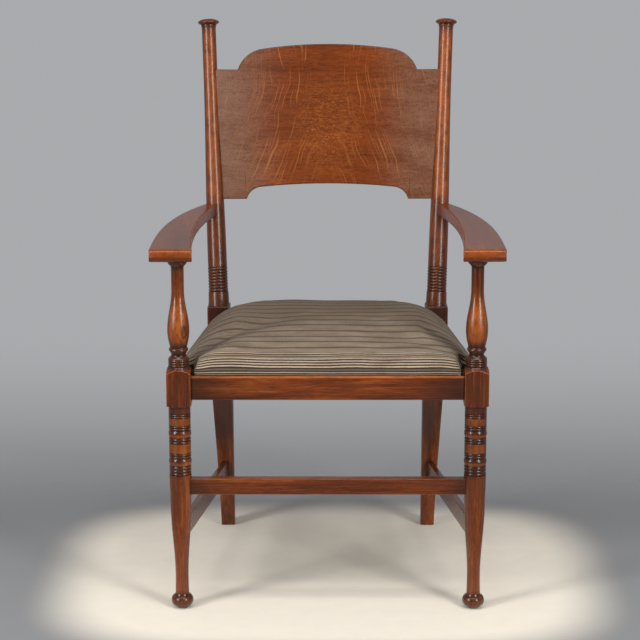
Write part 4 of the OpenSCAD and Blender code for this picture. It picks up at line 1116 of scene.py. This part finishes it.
def seat_outline(off, count, corner=0.007):
    """The seat's outline, notched round the legs and posts, off to its outside, with rounded corners, as
    so many points at an even distance."""
    lean = off / math.cos(SIDE_ANGLE)
    half = [(frame_front_box[1].x + off, SEAT_FRONT - off), (frame_front_box[1].x + off, NOTCH_FRONT - off),
            (seat_side(NOTCH_FRONT - off) + lean, NOTCH_FRONT - off),
            (seat_side(NOTCH_BACK + off) + lean, NOTCH_BACK + off),
            (frame_back_box[1].x + off, NOTCH_BACK + off), (frame_back_box[1].x + off, SEAT_BACK + off)]
    corners = half + [(-x, y) for x, y in half[::-1]]
    radii = [corner, 0.004, corner, corner, 0.004, corner]
    line = rounded_outline(corners, radii + radii[::-1])
    line = np.concatenate((line, line[:1]))
    run = run_along(line)
    return read_at(line, run, np.linspace(0, run[-1], count + 1)[:-1])


def swollen(plan, amount):
    """Outline points whose front is pushed forwards by a high power of their distance to the middle."""
    t = np.clip((SEAT_MIDDLE[1] - plan[:, 1]) / (SEAT_MIDDLE[1] - SEAT_FRONT), 0, None)
    return plan - np.column_stack((np.zeros(len(plan)), amount * t ** 8))


def rise(d, run, power=0.5):
    """A rounded rise from 0 to 1 over a distance, along a quarter ellipse when the power is a half."""
    return np.clip(1 - (1 - np.clip(d / run, 0, 1)) ** 2, 0, None) ** power


def pad_height(s, x, y):
    """Height of the cushion's top: an upright front wall and a long slope behind it, times the rounded
    fall to either side and the long fall to the back."""
    base = RAIL_TOP + 0.003
    d = y - SEAT_FRONT + s.cover + s.swell
    front = s.wall * rise(d, s.wall_run) + (1 - s.wall) * rise(d, s.slope_run, 1.0)
    side = rise(seat_side(y) + s.cover - np.abs(x), s.side_run, 0.6)
    back = rise(SEAT_BACK + s.cover - y, s.back_run)
    return base + (RAIL_TOP + s.crown - base) * front * side * back


def cushion_top(s, plan, shares, floor, inset=0.0):
    """Rings over the top: the outline drawn in to the middle by each share, at the cushion's height."""
    rings = SEAT_MIDDLE + shares[:, None, None] * (plan - SEAT_MIDDLE)
    z = np.maximum(floor, pad_height(s, rings[..., 0], rings[..., 1]) - inset)
    return np.concatenate((rings, z[..., None]), -1)


def at_height(plan, z):
    """One ring of points at a height."""
    return np.column_stack((plan, np.full(len(plan), z)))[None]


def simulated_pad(s):
    """A smaller copy of the cushion, remeshed with voxels and puffed up by cloth simulation with its
    lower edge held. No point moves further than the cap, and the front edge, which is stitched, hardly
    rises. Returns the finished object."""
    plan = seat_outline(s.cover - s.start, 220)
    pushed, edge, frames = swollen(plan, s.swell), RAIL_TOP + 0.010, 20
    top = cushion_top(s, pushed, 1 - np.linspace(0.05, 0.99, 44) ** 2, edge, s.start)
    made = skin(np.concatenate((at_height(plan, RAIL_TOP), at_height(pushed, edge), top)))
    pad = mesh_object("pad_former", made["points"], [made["quads"], made["fans"]])
    changed(pad, "REMESH", mode="VOXEL", voxel_size=s.voxel)
    start = coordinates(pad.data)
    low = np.flatnonzero(start[:, 2] < RAIL_TOP + 0.007)
    pad.vertex_groups.new(name="held").add(low.tolist(), 1.0, "REPLACE")
    cloth = pad.modifiers.new("cloth", "CLOTH")
    fabric = {"quality": 5, "mass": 0.25, "tension_stiffness": 18, "compression_stiffness": 18,
              "bending_stiffness": 0.6, "use_pressure": True, "uniform_pressure_force": 3,
              "vertex_group_mass": "held"}
    for name, value in fabric.items():
        setattr(cloth.settings, name, value)
    cloth.settings.effector_weights.gravity = 0
    cloth.point_cache.frame_start, cloth.point_cache.frame_end = 1, frames
    scene = bpy.context.scene
    for step in range(1, frames + 1):
        scene.frame_set(step)
    moved = coordinates(pad.evaluated_get(bpy.context.evaluated_depsgraph_get()).data) - start
    far = np.linalg.norm(moved, axis=1, keepdims=True)
    moved *= np.minimum(1, s.swell_cap / np.maximum(far, 1e-9))
    moved[:, 2] *= 0.1 + 0.9 * rise(start[:, 1] - SEAT_FRONT - 0.01, 0.14, 1.0)
    pad.modifiers.clear()
    scene.frame_set(1)
    pad.data.vertices.foreach_set("co", (start + moved).astype(np.float32).ravel())
    changed(pad, "SMOOTH", factor=0.5, iterations=5)
    changed(pad, "SUBSURF", levels=1, render_levels=1)
    return pad


def coordinates(mesh):
    """All the points of a mesh as an array."""
    flat = np.empty(len(mesh.vertices) * 3, np.float32)
    mesh.vertices.foreach_get("co", flat)
    return flat.reshape(-1, 3).astype(float)


def changed(made, kind, **values):
    """Adds a modifier and applies it."""
    modifier = made.modifiers.new(kind.lower(), kind)
    for name, value in values.items():
        setattr(modifier, name, value)
    shaped = bpy.data.meshes.new_from_object(made.evaluated_get(bpy.context.evaluated_depsgraph_get()))
    made.modifiers.clear()
    made.data = shaped


# Each valley's start, end, width and depth
VALLEYS = [((-0.262, -0.272), (-0.060, -0.050), 0.022, 0.0085),
           ((0.268, -0.270), (0.105, -0.185), 0.018, 0.0055)]


def creased(points):
    """How far the fabric sinks: along each valley the depth falls off with the square of the distance to
    its line, deepest at a third of its length, and a few broad slow waves are added."""
    x, y = points[:, 0], points[:, 1]
    sunk = 0.0006 * (np.sin(31 * x + 9 * y) + np.sin(23 * y - 17 * x + 1.3) + np.sin(57 * x + 2.0) * 0.5)
    for start, end, width, depth in VALLEYS:
        a, b = np.array(start), np.array(end)
        run = np.linalg.norm(b - a)
        along = (points[:, :2] - a) @ (b - a) / run ** 2
        away = np.linalg.norm(points[:, :2] - a - np.clip(along, 0, 1)[:, None] * (b - a), axis=1)
        fade = np.sin(np.pi * np.clip(along * 0.86 + 0.12, 0, 1)) ** 1.2
        sunk = sunk + depth * fade * np.exp(-((away / (width * (0.7 + 0.8 * np.clip(along, 0, 1)))) ** 2))
    return sunk


def seat_cushion(s):
    """The striped loose seat in one closed skin: from the middle of its underside out to the frame's
    edge, down inside the cover to the hem, up its outside, over the front wall and in to the middle. The
    upper part is laid onto the simulated pad. cloth holds the distance across and the distance from the
    front edge over the top, which runs on down the front wall."""
    count, inside, crest_start = 420, 0.0003, RAIL_TOP + 0.0122
    inner, outer = seat_outline(inside, count), seat_outline(s.cover, count)
    hem, under = LEDGE + 0.0004, RAIL_TOP + 0.0097
    shares = np.linspace(0.04, 0.985, 16)
    flat = np.concatenate([at_height(SEAT_MIDDLE + k * (inner - SEAT_MIDDLE), under) for k in shares])
    wall = np.concatenate([at_height(outer, z) for z in np.linspace(hem + 0.0004, RAIL_TOP + 0.0010, 8)])
    pushed = swollen(outer, s.swell) - outer
    swell = np.concatenate([at_height(outer + pushed * rise(k, 1), RAIL_TOP + 0.0015 + 0.0105 * k)
                            for k in np.linspace(0.1, 1, 8)])
    top = cushion_top(s, swollen(outer, s.swell), 1 - np.linspace(0.03, 0.992, 130) ** 2, crest_start)
    rings = np.concatenate((flat, at_height(inner, under), at_height(inner, hem + 0.0003),
                            at_height((inner + outer) / 2, hem), wall, swell, top))
    made = skin(rings)
    cover = mesh_object("seat_cushion", made["points"], [made["quads"], made["fans"]])
    free = np.clip((made["points"][:, 2] - RAIL_TOP - 0.009) / 0.008, 0, 1)
    free[:(len(flat) + 2) * count] = 0
    free[-2] = 0
    pad = simulated_pad(s)
    wrap = cover.modifiers.new("wrap", "SHRINKWRAP")
    wrap.target = pad
    laid = coordinates(cover.evaluated_get(bpy.context.evaluated_depsgraph_get()).data)
    made["points"] += (laid - made["points"]) * free[:, None]
    bpy.data.objects.remove(pad)
    bpy.data.objects.remove(cover)
    points = made["points"]
    made["cloth"] = np.column_stack((points[:, 0], unrolled(s, points)))
    points[:, 2] -= creased(points) * free
    return made


def unrolled(s, points):
    """Where the cover's stripes lie: the height above the top of the front wall, then the length of an arc
    over the rounded edge, then the distance back over the top and down behind. Just behind the edge the
    cloth is drawn together by one repeat. Towards either end the edge falls, and the arc's part draws
    together there."""
    x, y, z = points.T
    turn, near, slant = 0.012, SEAT_FRONT + 0.008, 1.05
    middle = pad_height(s, 0, near) - turn
    fallen = pad_height(s, x, np.full(len(x), near)) - turn
    back = y - SEAT_FRONT - turn + s.cover + 0.5 * s.swell
    share = np.arctan2(np.maximum(z - fallen, 0), np.maximum(-back, 0)) / (np.pi / 2)
    share = np.where(back > 0, 1, np.where(z < fallen, 0, share))
    foot = np.minimum(z, fallen)
    foot += 0.6 * (middle - fallen) * np.clip((foot - RAIL_TOP) / np.maximum(fallen - RAIL_TOP, 0.004), 0, 1)
    edge = foot + share * (middle + turn * np.pi / 2 - foot)
    drop = np.clip(pad_height(s, 0, SEAT_BACK - 0.01) - z, 0, None)
    behind = np.clip((y - SEAT_BACK) / 0.02 + 1, 0, 1) * drop
    drawn = np.clip(back / s.drawn_run, 0, 1)
    return edge - middle + np.maximum(back, 0) * slant + s.repeat * drawn ** 2 * (3 - 2 * drawn) + behind


def straps(s, crosswise):
    """Straps of webbing that pass over and under each other: each is a flat closed band whose height is
    a sine wave with one turn for each two straps that it crosses."""
    made = []
    half, thick, steps = s.web_width / 2, s.web_thick, 90
    shares = (np.arange(s.straps) + 0.5) / s.straps
    deep = SEAT_FRONT + s.strap_margin + (SEAT_BACK - SEAT_FRONT - 2 * s.strap_margin) * shares
    wide = (2 * shares - 1) * (frame_back_box[1].x - s.strap_short)
    knots = wide if crosswise else deep
    for i, place in enumerate(deep if crosswise else wide):
        ends = (SEAT_FRONT + s.strap_short, SEAT_BACK - s.strap_short)
        if crosswise:
            in_front = frame_front_box[1].x if place - half < NOTCH_FRONT else 1
            reach = min(seat_side(place + half), in_front) - s.strap_short
            ends = (-reach, reach)
        along = np.linspace(*ends, steps)
        phase = np.interp(along, knots, np.arange(s.straps) * np.pi)
        inside = np.clip(np.minimum(along - ends[0] - 0.05, ends[1] - 0.05 - along) / 0.02, 0, 1)
        wave = thick * 0.52 * np.cos(phase + i * np.pi + (0 if crosswise else np.pi)) * inside
        one = np.ones(steps)
        flat, edge = sections(one * half, one * thick / 2, one * thick * 0.45, 3, 14)
        rest = FRAME_TOP + thick * (1.5 if crosswise else 0.5)
        across, high = flat[..., 0] + place, flat[..., 1] + (rest + wave)[:, None]
        run = along[:, None]
        line = np.exp(-((np.abs(flat[..., 0]) - half * 0.72) / 0.0025) ** 2)
        made.append(skin(rings_of(run, across, high) if crosswise else rings_of(across, run, high), line))
    return made


def laid_sheet(off, low, thick):
    """A closed flat sheet over the seat's outline, off to its outside: the outline drawn in to the middle
    by each share, at two heights."""
    plan = seat_outline(off, 240, 0.004)
    shares = 1 - np.linspace(0, 0.97, 26) ** 1.6
    x, y = (SEAT_MIDDLE + shares[:, None, None] * (plan - SEAT_MIDDLE)).transpose(2, 0, 1)
    return skin(np.concatenate((rings_of(x, y, low)[::-1], rings_of(x, y, low + thick))))


# One operator for each group of pieces, and one for the stage

# How a piece's name ends on either side, and the place of the knot in the left front leg
ENDS = {1: "_right", -1: "_left", 0: ""}
KNOT = (-0.2584, 0.526)


def oak_piece(kind, made_as, shapes, axis, seed, tone, side=0, **look):
    """One piece of polished oak of its own grain. A left piece (side -1) is the mirrored right one."""
    end = ENDS[side]
    oak = wood("oak_" + kind + end, bpy.context.scene.oak_finish, axis, seed, tone, **look)
    piece(kind + "_" + made_as + end, shapes, oak, "chair", [kind + end], side or 1)


class ARMCHAIR_OT_front_legs(bpy.types.Operator):
    """Turns the two front legs with their drums, blocks and arm supports."""
    bl_idname = "armchair.front_legs"
    bl_label = "Front legs"

    def execute(self, context):
        shape = front_leg(context.scene.leg_sizes)
        oak_piece("front_leg", "turned", [shape], "Z", 1.7, 0.90, 1)
        oak_piece("front_leg", "turned", [shape], "Z", 4.1, 1.00, -1, knot=KNOT)
        return {"FINISHED"}


class ARMCHAIR_OT_back_posts(bpy.types.Operator):
    """Makes the back legs and turns the leaning posts above them."""
    bl_idname = "armchair.back_posts"
    bl_label = "Back posts"

    def execute(self, context):
        s = context.scene.post_sizes
        shapes = [back_leg(s), post_turning(s)]
        # The right post's higher tone than the left one's is painted light, standing in for its brighter
        # highlight
        oak_piece("back_post", "turned", shapes, "Z", 6.3, 1.12, 1, haze=0.09)
        oak_piece("back_post", "turned", shapes, "Z", 9.2, 0.88, -1, haze=0.09)
        return {"FINISHED"}


class ARMCHAIR_OT_back_board(bpy.types.Operator):
    """Bends the back board and shapes its two arched edges."""
    bl_idname = "armchair.back_board"
    bl_label = "Back board"

    def execute(self, context):
        shape = back_board(context.scene.board_sizes, context.scene.post_sizes)
        oak_piece("back_board", "bowed", [shape], "X", 2.6, 1.18, flecks=0.40, contrast=0.5, haze=0.06)
        return {"FINISHED"}


class ARMCHAIR_OT_arms(bpy.types.Operator):
    """Shapes the two arms."""
    bl_idname = "armchair.arms"
    bl_label = "Arms"

    def execute(self, context):
        shape = arm(context.scene.arm_sizes, context.scene.post_sizes)
        for side, seed in ((1, 3.4), (-1, 7.7)):
            oak_piece("arm", "shaped", [shape], "Y", seed, 1.22, side, contrast=0.5, haze=0.06)
        return {"FINISHED"}


class ARMCHAIR_OT_rails(bpy.types.Operator):
    """Makes the four seat rails with their lips and rebates."""
    bl_idname = "armchair.rails"
    bl_label = "Seat rails"

    def execute(self, context):
        s, leg, post = context.scene.bar_sizes, context.scene.leg_sizes, context.scene.post_sizes
        shape = rail_profile(s)
        hub = (s.lip / 2, (RAIL_LOW + LEDGE) / 2)
        reach = FRONT_X - leg.block / 2 + s.housed
        front = rail(shape, hub, (-reach, FRONT_FACE, 0), (reach, FRONT_FACE, 0), (0, 1, 0))
        reach = BACK_X - post.block / 2 + s.housed
        back = rail(shape, hub, (-reach, BACK_FACE, 0), (reach, BACK_FACE, 0), (0, -1, 0))
        inward = np.array((-math.cos(SIDE_ANGLE), -math.sin(SIDE_ANGLE), 0))
        off = leg.block / 2 - s.housed
        start, end = ((side_line(y, off), y, 0) for y in (FRONT_Y + s.side_end, BACK_Y - s.side_end))
        side = rail(shape, hub, start, end, inward)
        oak_piece("front_rail", "rebated", [front], "X", 5.2, 1.1)
        oak_piece("back_rail", "rebated", [back], "X", 8.8, 0.85)
        for way, seed in ((1, 0.8), (-1, 3.9)):
            oak_piece("side_rail", "rebated", [side], "Y", seed, 0.9, way)
        return {"FINISHED"}


class ARMCHAIR_OT_stretchers(bpy.types.Operator):
    """Makes the front stretcher and the two side stretchers."""
    bl_idname = "armchair.stretchers"
    bl_label = "Stretchers"

    def execute(self, context):
        s = context.scene.bar_sizes
        reach = FRONT_X - s.housed
        front = bar((-reach, FRONT_Y, s.front_height), (reach, FRONT_Y, s.front_height),
                    s.front_thick / 2, s.front_tall / 2, s.edge)
        outer, inner, face, back = leg_edges(context.scene.post_sizes, np.array([s.side_back]))
        start = np.array((FRONT_X, FRONT_Y, s.side_front))
        end = np.array(((outer[0] + inner[0]) / 2, face[0], s.side_back))
        along = (end - start) / np.linalg.norm(end - start)
        side = bar(start + along * s.let_in / 2, end + along * s.let_in, s.side_thick / 2, s.side_tall / 2,
                   s.edge)
        oak_piece("front_stretcher", "planed", [front], "X", 7.1, 0.95)
        for way, seed in ((1, 2.2), (-1, 5.5)):
            oak_piece("side_stretcher", "planed", [side], "Y", seed, 0.8, way, contrast=0.6)
        return {"FINISHED"}


class ARMCHAIR_OT_joinery(bpy.types.Operator):
    """Finishes the hidden joinery: braces, screws, dowels, the frame of the loose seat and its tacks."""
    bl_idname = "armchair.joinery"
    bl_label = "Braces and seat frame"

    def execute(self, context):
        beech = plain_wood("beech_plain", 1.0)
        seat_beech = plain_wood("beech_seat_frame", 4.0)
        steel = old_steel("steel_dulled")
        for end in ("front", "back"):
            for side in ("left", "right"):
                eased_copy("corner_brace_" + end + "_" + side, beech, "chair", 0.0012)
        for side in ("front", "back", "left", "right"):
            eased_copy("seat_frame_" + side, seat_beech, "seat", 0.0010)
        for node, finish in (("arm_dowels", beech), ("brace_screws", steel), ("cloth_tacks", steel)):
            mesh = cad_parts[node].data
            mesh.materials.clear()
            mesh.materials.append(finish)
        return {"FINISHED"}


class ARMCHAIR_OT_cushion(bpy.types.Operator):
    """Puffs up the loose seat and covers it with striped cloth."""
    bl_idname = "armchair.cushion"
    bl_label = "Striped seat"

    def execute(self, context):
        s = context.scene.seat_sizes
        made = piece("seat_cushion", [seat_cushion(s)], striped_cloth("striped_cover", s), "seat",
                     ["seat_cover", "stuffing"])
        return {"FINISHED"}


class ARMCHAIR_OT_seat_cloths(bpy.types.Operator):
    """Weaves the webbing and lays the hessian and the bottom cloth."""
    bl_idname = "armchair.seat_cloths"
    bl_label = "Webbing and cloths"

    def execute(self, context):
        s = context.scene.seat_sizes
        on_frame = ["seat_frame_front_eased", "seat_frame_back_eased"]
        webbing = ["webbing_lengthwise", "webbing_crosswise"]
        jute = plain_cloth("jute_webbing", (0.42, 0.31, 0.18), (0.17, 0.11, 0.055), 0.0022,
                           (0.05, 0.035, 0.03))
        for crosswise, name in enumerate(webbing):
            bands = straps(s, crosswise)
            made = piece(name + "_woven", bands, jute, "seat", [name])
        plain = seat_outline(0, 240)
        x, y = plain.T
        area = 0.5 * abs(np.sum(x * np.roll(y, 1) - y * np.roll(x, 1)))
        wide, deep = np.ptp(plain, axis=0)
        hessian = plain_cloth("hessian_cloth", (0.40, 0.29, 0.17), (0.12, 0.08, 0.04), 0.0016)
        black = plain_cloth("bottom_cloth_black", (0.030, 0.028, 0.027), (0.009, 0.008, 0.008), 0.0009)
        on_webbing = [name + "_woven" for name in webbing]
        for name, laid_as, cloth, short, low, below in (
                ("hessian", "laid", hessian, 0.006, FRAME_TOP + 0.0028, on_webbing),
                ("bottom_cloth", "tacked", black, 0.018, LEDGE - 0.0008, on_frame)):
            sheet = laid_sheet(-short, low, s.cloth_thick)
            made = piece(name + "_" + laid_as, [sheet], cloth, "seat", [name])
            wide - 2 * short
            deep - 2 * short
            area - 2 * short * (wide + deep)
        return {"FINISHED"}


class ARMCHAIR_OT_stage(bpy.types.Operator):
    """Sets the floor, the backdrop colour, the lamps and the camera."""
    bl_idname = "armchair.stage"
    bl_label = "Stage"

    def execute(self, context):
        scene = context.scene
        s = scene.stage_settings
        floor_stage(s)
        backdrop(scene, s)
        for name, x, y in (("softbox_left", -2.45, -2.1), ("softbox_right", 1.95, -2.55)):
            lamp(name, (x, y, 1.45), (0, 0, 0.55), (0.75, 2.1), 75, (1.0, 0.985, 0.96))
        lamp("overhead", (0, -1.2, 3.2), (0, 0, 0.4), (3.2, 0.6), 44, (1.0, 0.99, 0.97))
        camera = bpy.data.cameras.new("camera")
        camera.lens = s.lens
        camera.sensor_width = 36
        camera.shift_x, camera.shift_y = s.shift
        camera.clip_end = 60
        view = bpy.data.objects.new("camera", camera)
        view.matrix_world = (Matrix.Translation(s.place) @ Matrix.Rotation(s.turn, 4, "Z")
                             @ Matrix.Rotation(-s.pitch, 4, "X") @ Matrix.Rotation(s.roll, 4, "Y")
                             @ Matrix.Rotation(math.pi / 2, 4, "X"))
        scene.collection.objects.link(view)
        scene.camera = view
        scene.view_settings.view_transform = "Standard"
        return {"FINISHED"}


def floor_stage(s):
    """A round floor: pale under the chair, grey further out, and clear towards the back, so that it passes
    into the backdrop."""
    radius = np.concatenate((np.linspace(0.05, 2.4, 48), [3.6, 6.0]))[:, None]
    turn = angles(96)
    rings = rings_of(radius * np.cos(turn), radius * np.sin(turn), -0.0003)
    made = skin(np.concatenate((rings - (0, 0, 0.02), rings[::-1])))
    floor = mesh_object("floor", made["points"], [made["quads"], made["fans"]])
    paint, tree = new_material("floor_paint")
    source = object_place(tree)
    x, y, z = apart(source)
    away = ((x * 2.0).maths("ABSOLUTE") ** 4.0 + (y * 2.5 + 0.16).maths("ABSOLUTE") ** 4.0) ** 0.25
    speck = ramp(noise(source, 30, 4), [(0.35, 0.0), (0.65, 0.35)])
    pale = mix(speck, s.floor, tuple(0.92 * c for c in s.floor))
    fade = ramp(away * 0.5, [(0.42, 0.0), (0.58, 1.0)], "EASE")
    solid = signal(tree, "ShaderNodeBsdfPrincipled", {"Base Color": mix(fade, pale, s.far_floor),
                                                      "Roughness": 0.8, "Specular IOR Level": 0.2})
    clear = signal(tree, "ShaderNodeBsdfTransparent")
    behind = ramp(y * 0.4, [(0.06, 0.0), (0.22, 0.55), (0.45, 0.85), (0.7, 1.0), (0.9, 1.0)], "B_SPLINE")
    far = signal(tree, "ShaderNodeVectorMath", {0: source}, "Value", operation="LENGTH")
    far = ramp(far * 0.2, [(0.2, 0.0), (0.8, 1.0)], "EASE")
    seen = signal(tree, "ShaderNodeMixShader", {0: behind.maths("MAXIMUM", far), 1: solid, 2: clear})
    add(tree, "ShaderNodeOutputMaterial", {"Surface": seen})
    floor.data.materials.append(paint)


def backdrop(scene, s):
    """The world: the backdrop's plain colour for what is seen straight, the same for what is mirrored or
    seen through glass, darker towards the front of the room, and a soft grey fill for everything else."""
    world = bpy.data.worlds.new("backdrop")
    world.use_nodes = True
    tree = world.node_tree
    tree.nodes.clear()
    rays = add(tree, "ShaderNodeLightPath").outputs
    straight = Signal(rays["Is Camera Ray"])
    mirrored = Signal(rays["Is Glossy Ray"]).maths("MAXIMUM", Signal(rays["Is Transmission Ray"]))
    fill = signal(tree, "ShaderNodeBackground", {"Color": (1, 1, 1, 1), "Strength": 0.30})
    x, y, z = apart(signal(tree, "ShaderNodeTexCoord", key="Generated"))
    room = ramp(y * 0.5 + 0.5, [(0.25, 0.05), (0.62, 0.8)], "EASE")
    shown = mix(straight.maths("MAXIMUM", room), (0, 0, 0), s.backdrop)
    plain = signal(tree, "ShaderNodeBackground", {"Color": shown, "Strength": 1.0})
    both = signal(tree, "ShaderNodeMixShader", {0: straight.maths("MAXIMUM", mirrored), 1: fill, 2: plain})
    add(tree, "ShaderNodeOutputWorld", {"Surface": both})
    scene.world = world


def lamp(name, place, aim, size, power, tint):
    """A rectangular softbox that points at a place."""
    data = bpy.data.lights.new(name, "AREA")
    data.shape = "RECTANGLE"
    data.size, data.size_y = size
    data.energy = power
    data.color = tint
    made = bpy.data.objects.new(name, data)
    made.location = place
    made.rotation_euler = (Vector(aim) - Vector(place)).to_track_quat("-Z", "Y").to_euler()
    bpy.context.scene.collection.objects.link(made)


class ARMCHAIR_PT_panel(bpy.types.Panel):
    """Lists what can be made."""
    bl_idname = "ARMCHAIR_PT_panel"
    bl_label = "Armchair"
    bl_space_type = "VIEW_3D"
    bl_region_type = "UI"
    bl_category = "Armchair"

    def draw(self, context):
        for maker in OPERATORS:
            self.layout.operator(maker.bl_idname)


OPERATORS = (ARMCHAIR_OT_front_legs, ARMCHAIR_OT_back_posts, ARMCHAIR_OT_back_board, ARMCHAIR_OT_arms,
             ARMCHAIR_OT_rails, ARMCHAIR_OT_stretchers, ARMCHAIR_OT_joinery, ARMCHAIR_OT_cushion,
             ARMCHAIR_OT_seat_cloths, ARMCHAIR_OT_stage)


def register():
    """Registers the settings, the operators and the panel."""
    for name, group in SETTINGS.items():
        bpy.utils.register_class(group)
        setattr(bpy.types.Scene, name, PointerProperty(type=group))
    for made in OPERATORS + (ARMCHAIR_PT_panel,):
        bpy.utils.register_class(made)


def unregister():
    """Takes back what register added."""
    for made in (ARMCHAIR_PT_panel,) + OPERATORS[::-1]:
        bpy.utils.unregister_class(made)
    for name, group in SETTINGS.items():
        delattr(bpy.types.Scene, name)
        bpy.utils.unregister_class(group)


def main():
    """Registers the add-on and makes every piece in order."""
    register()
    for maker in OPERATORS:
        group, name = maker.bl_idname.split(".")
        getattr(getattr(bpy.ops, group), name)()


if __name__ == "__main__":
    main()
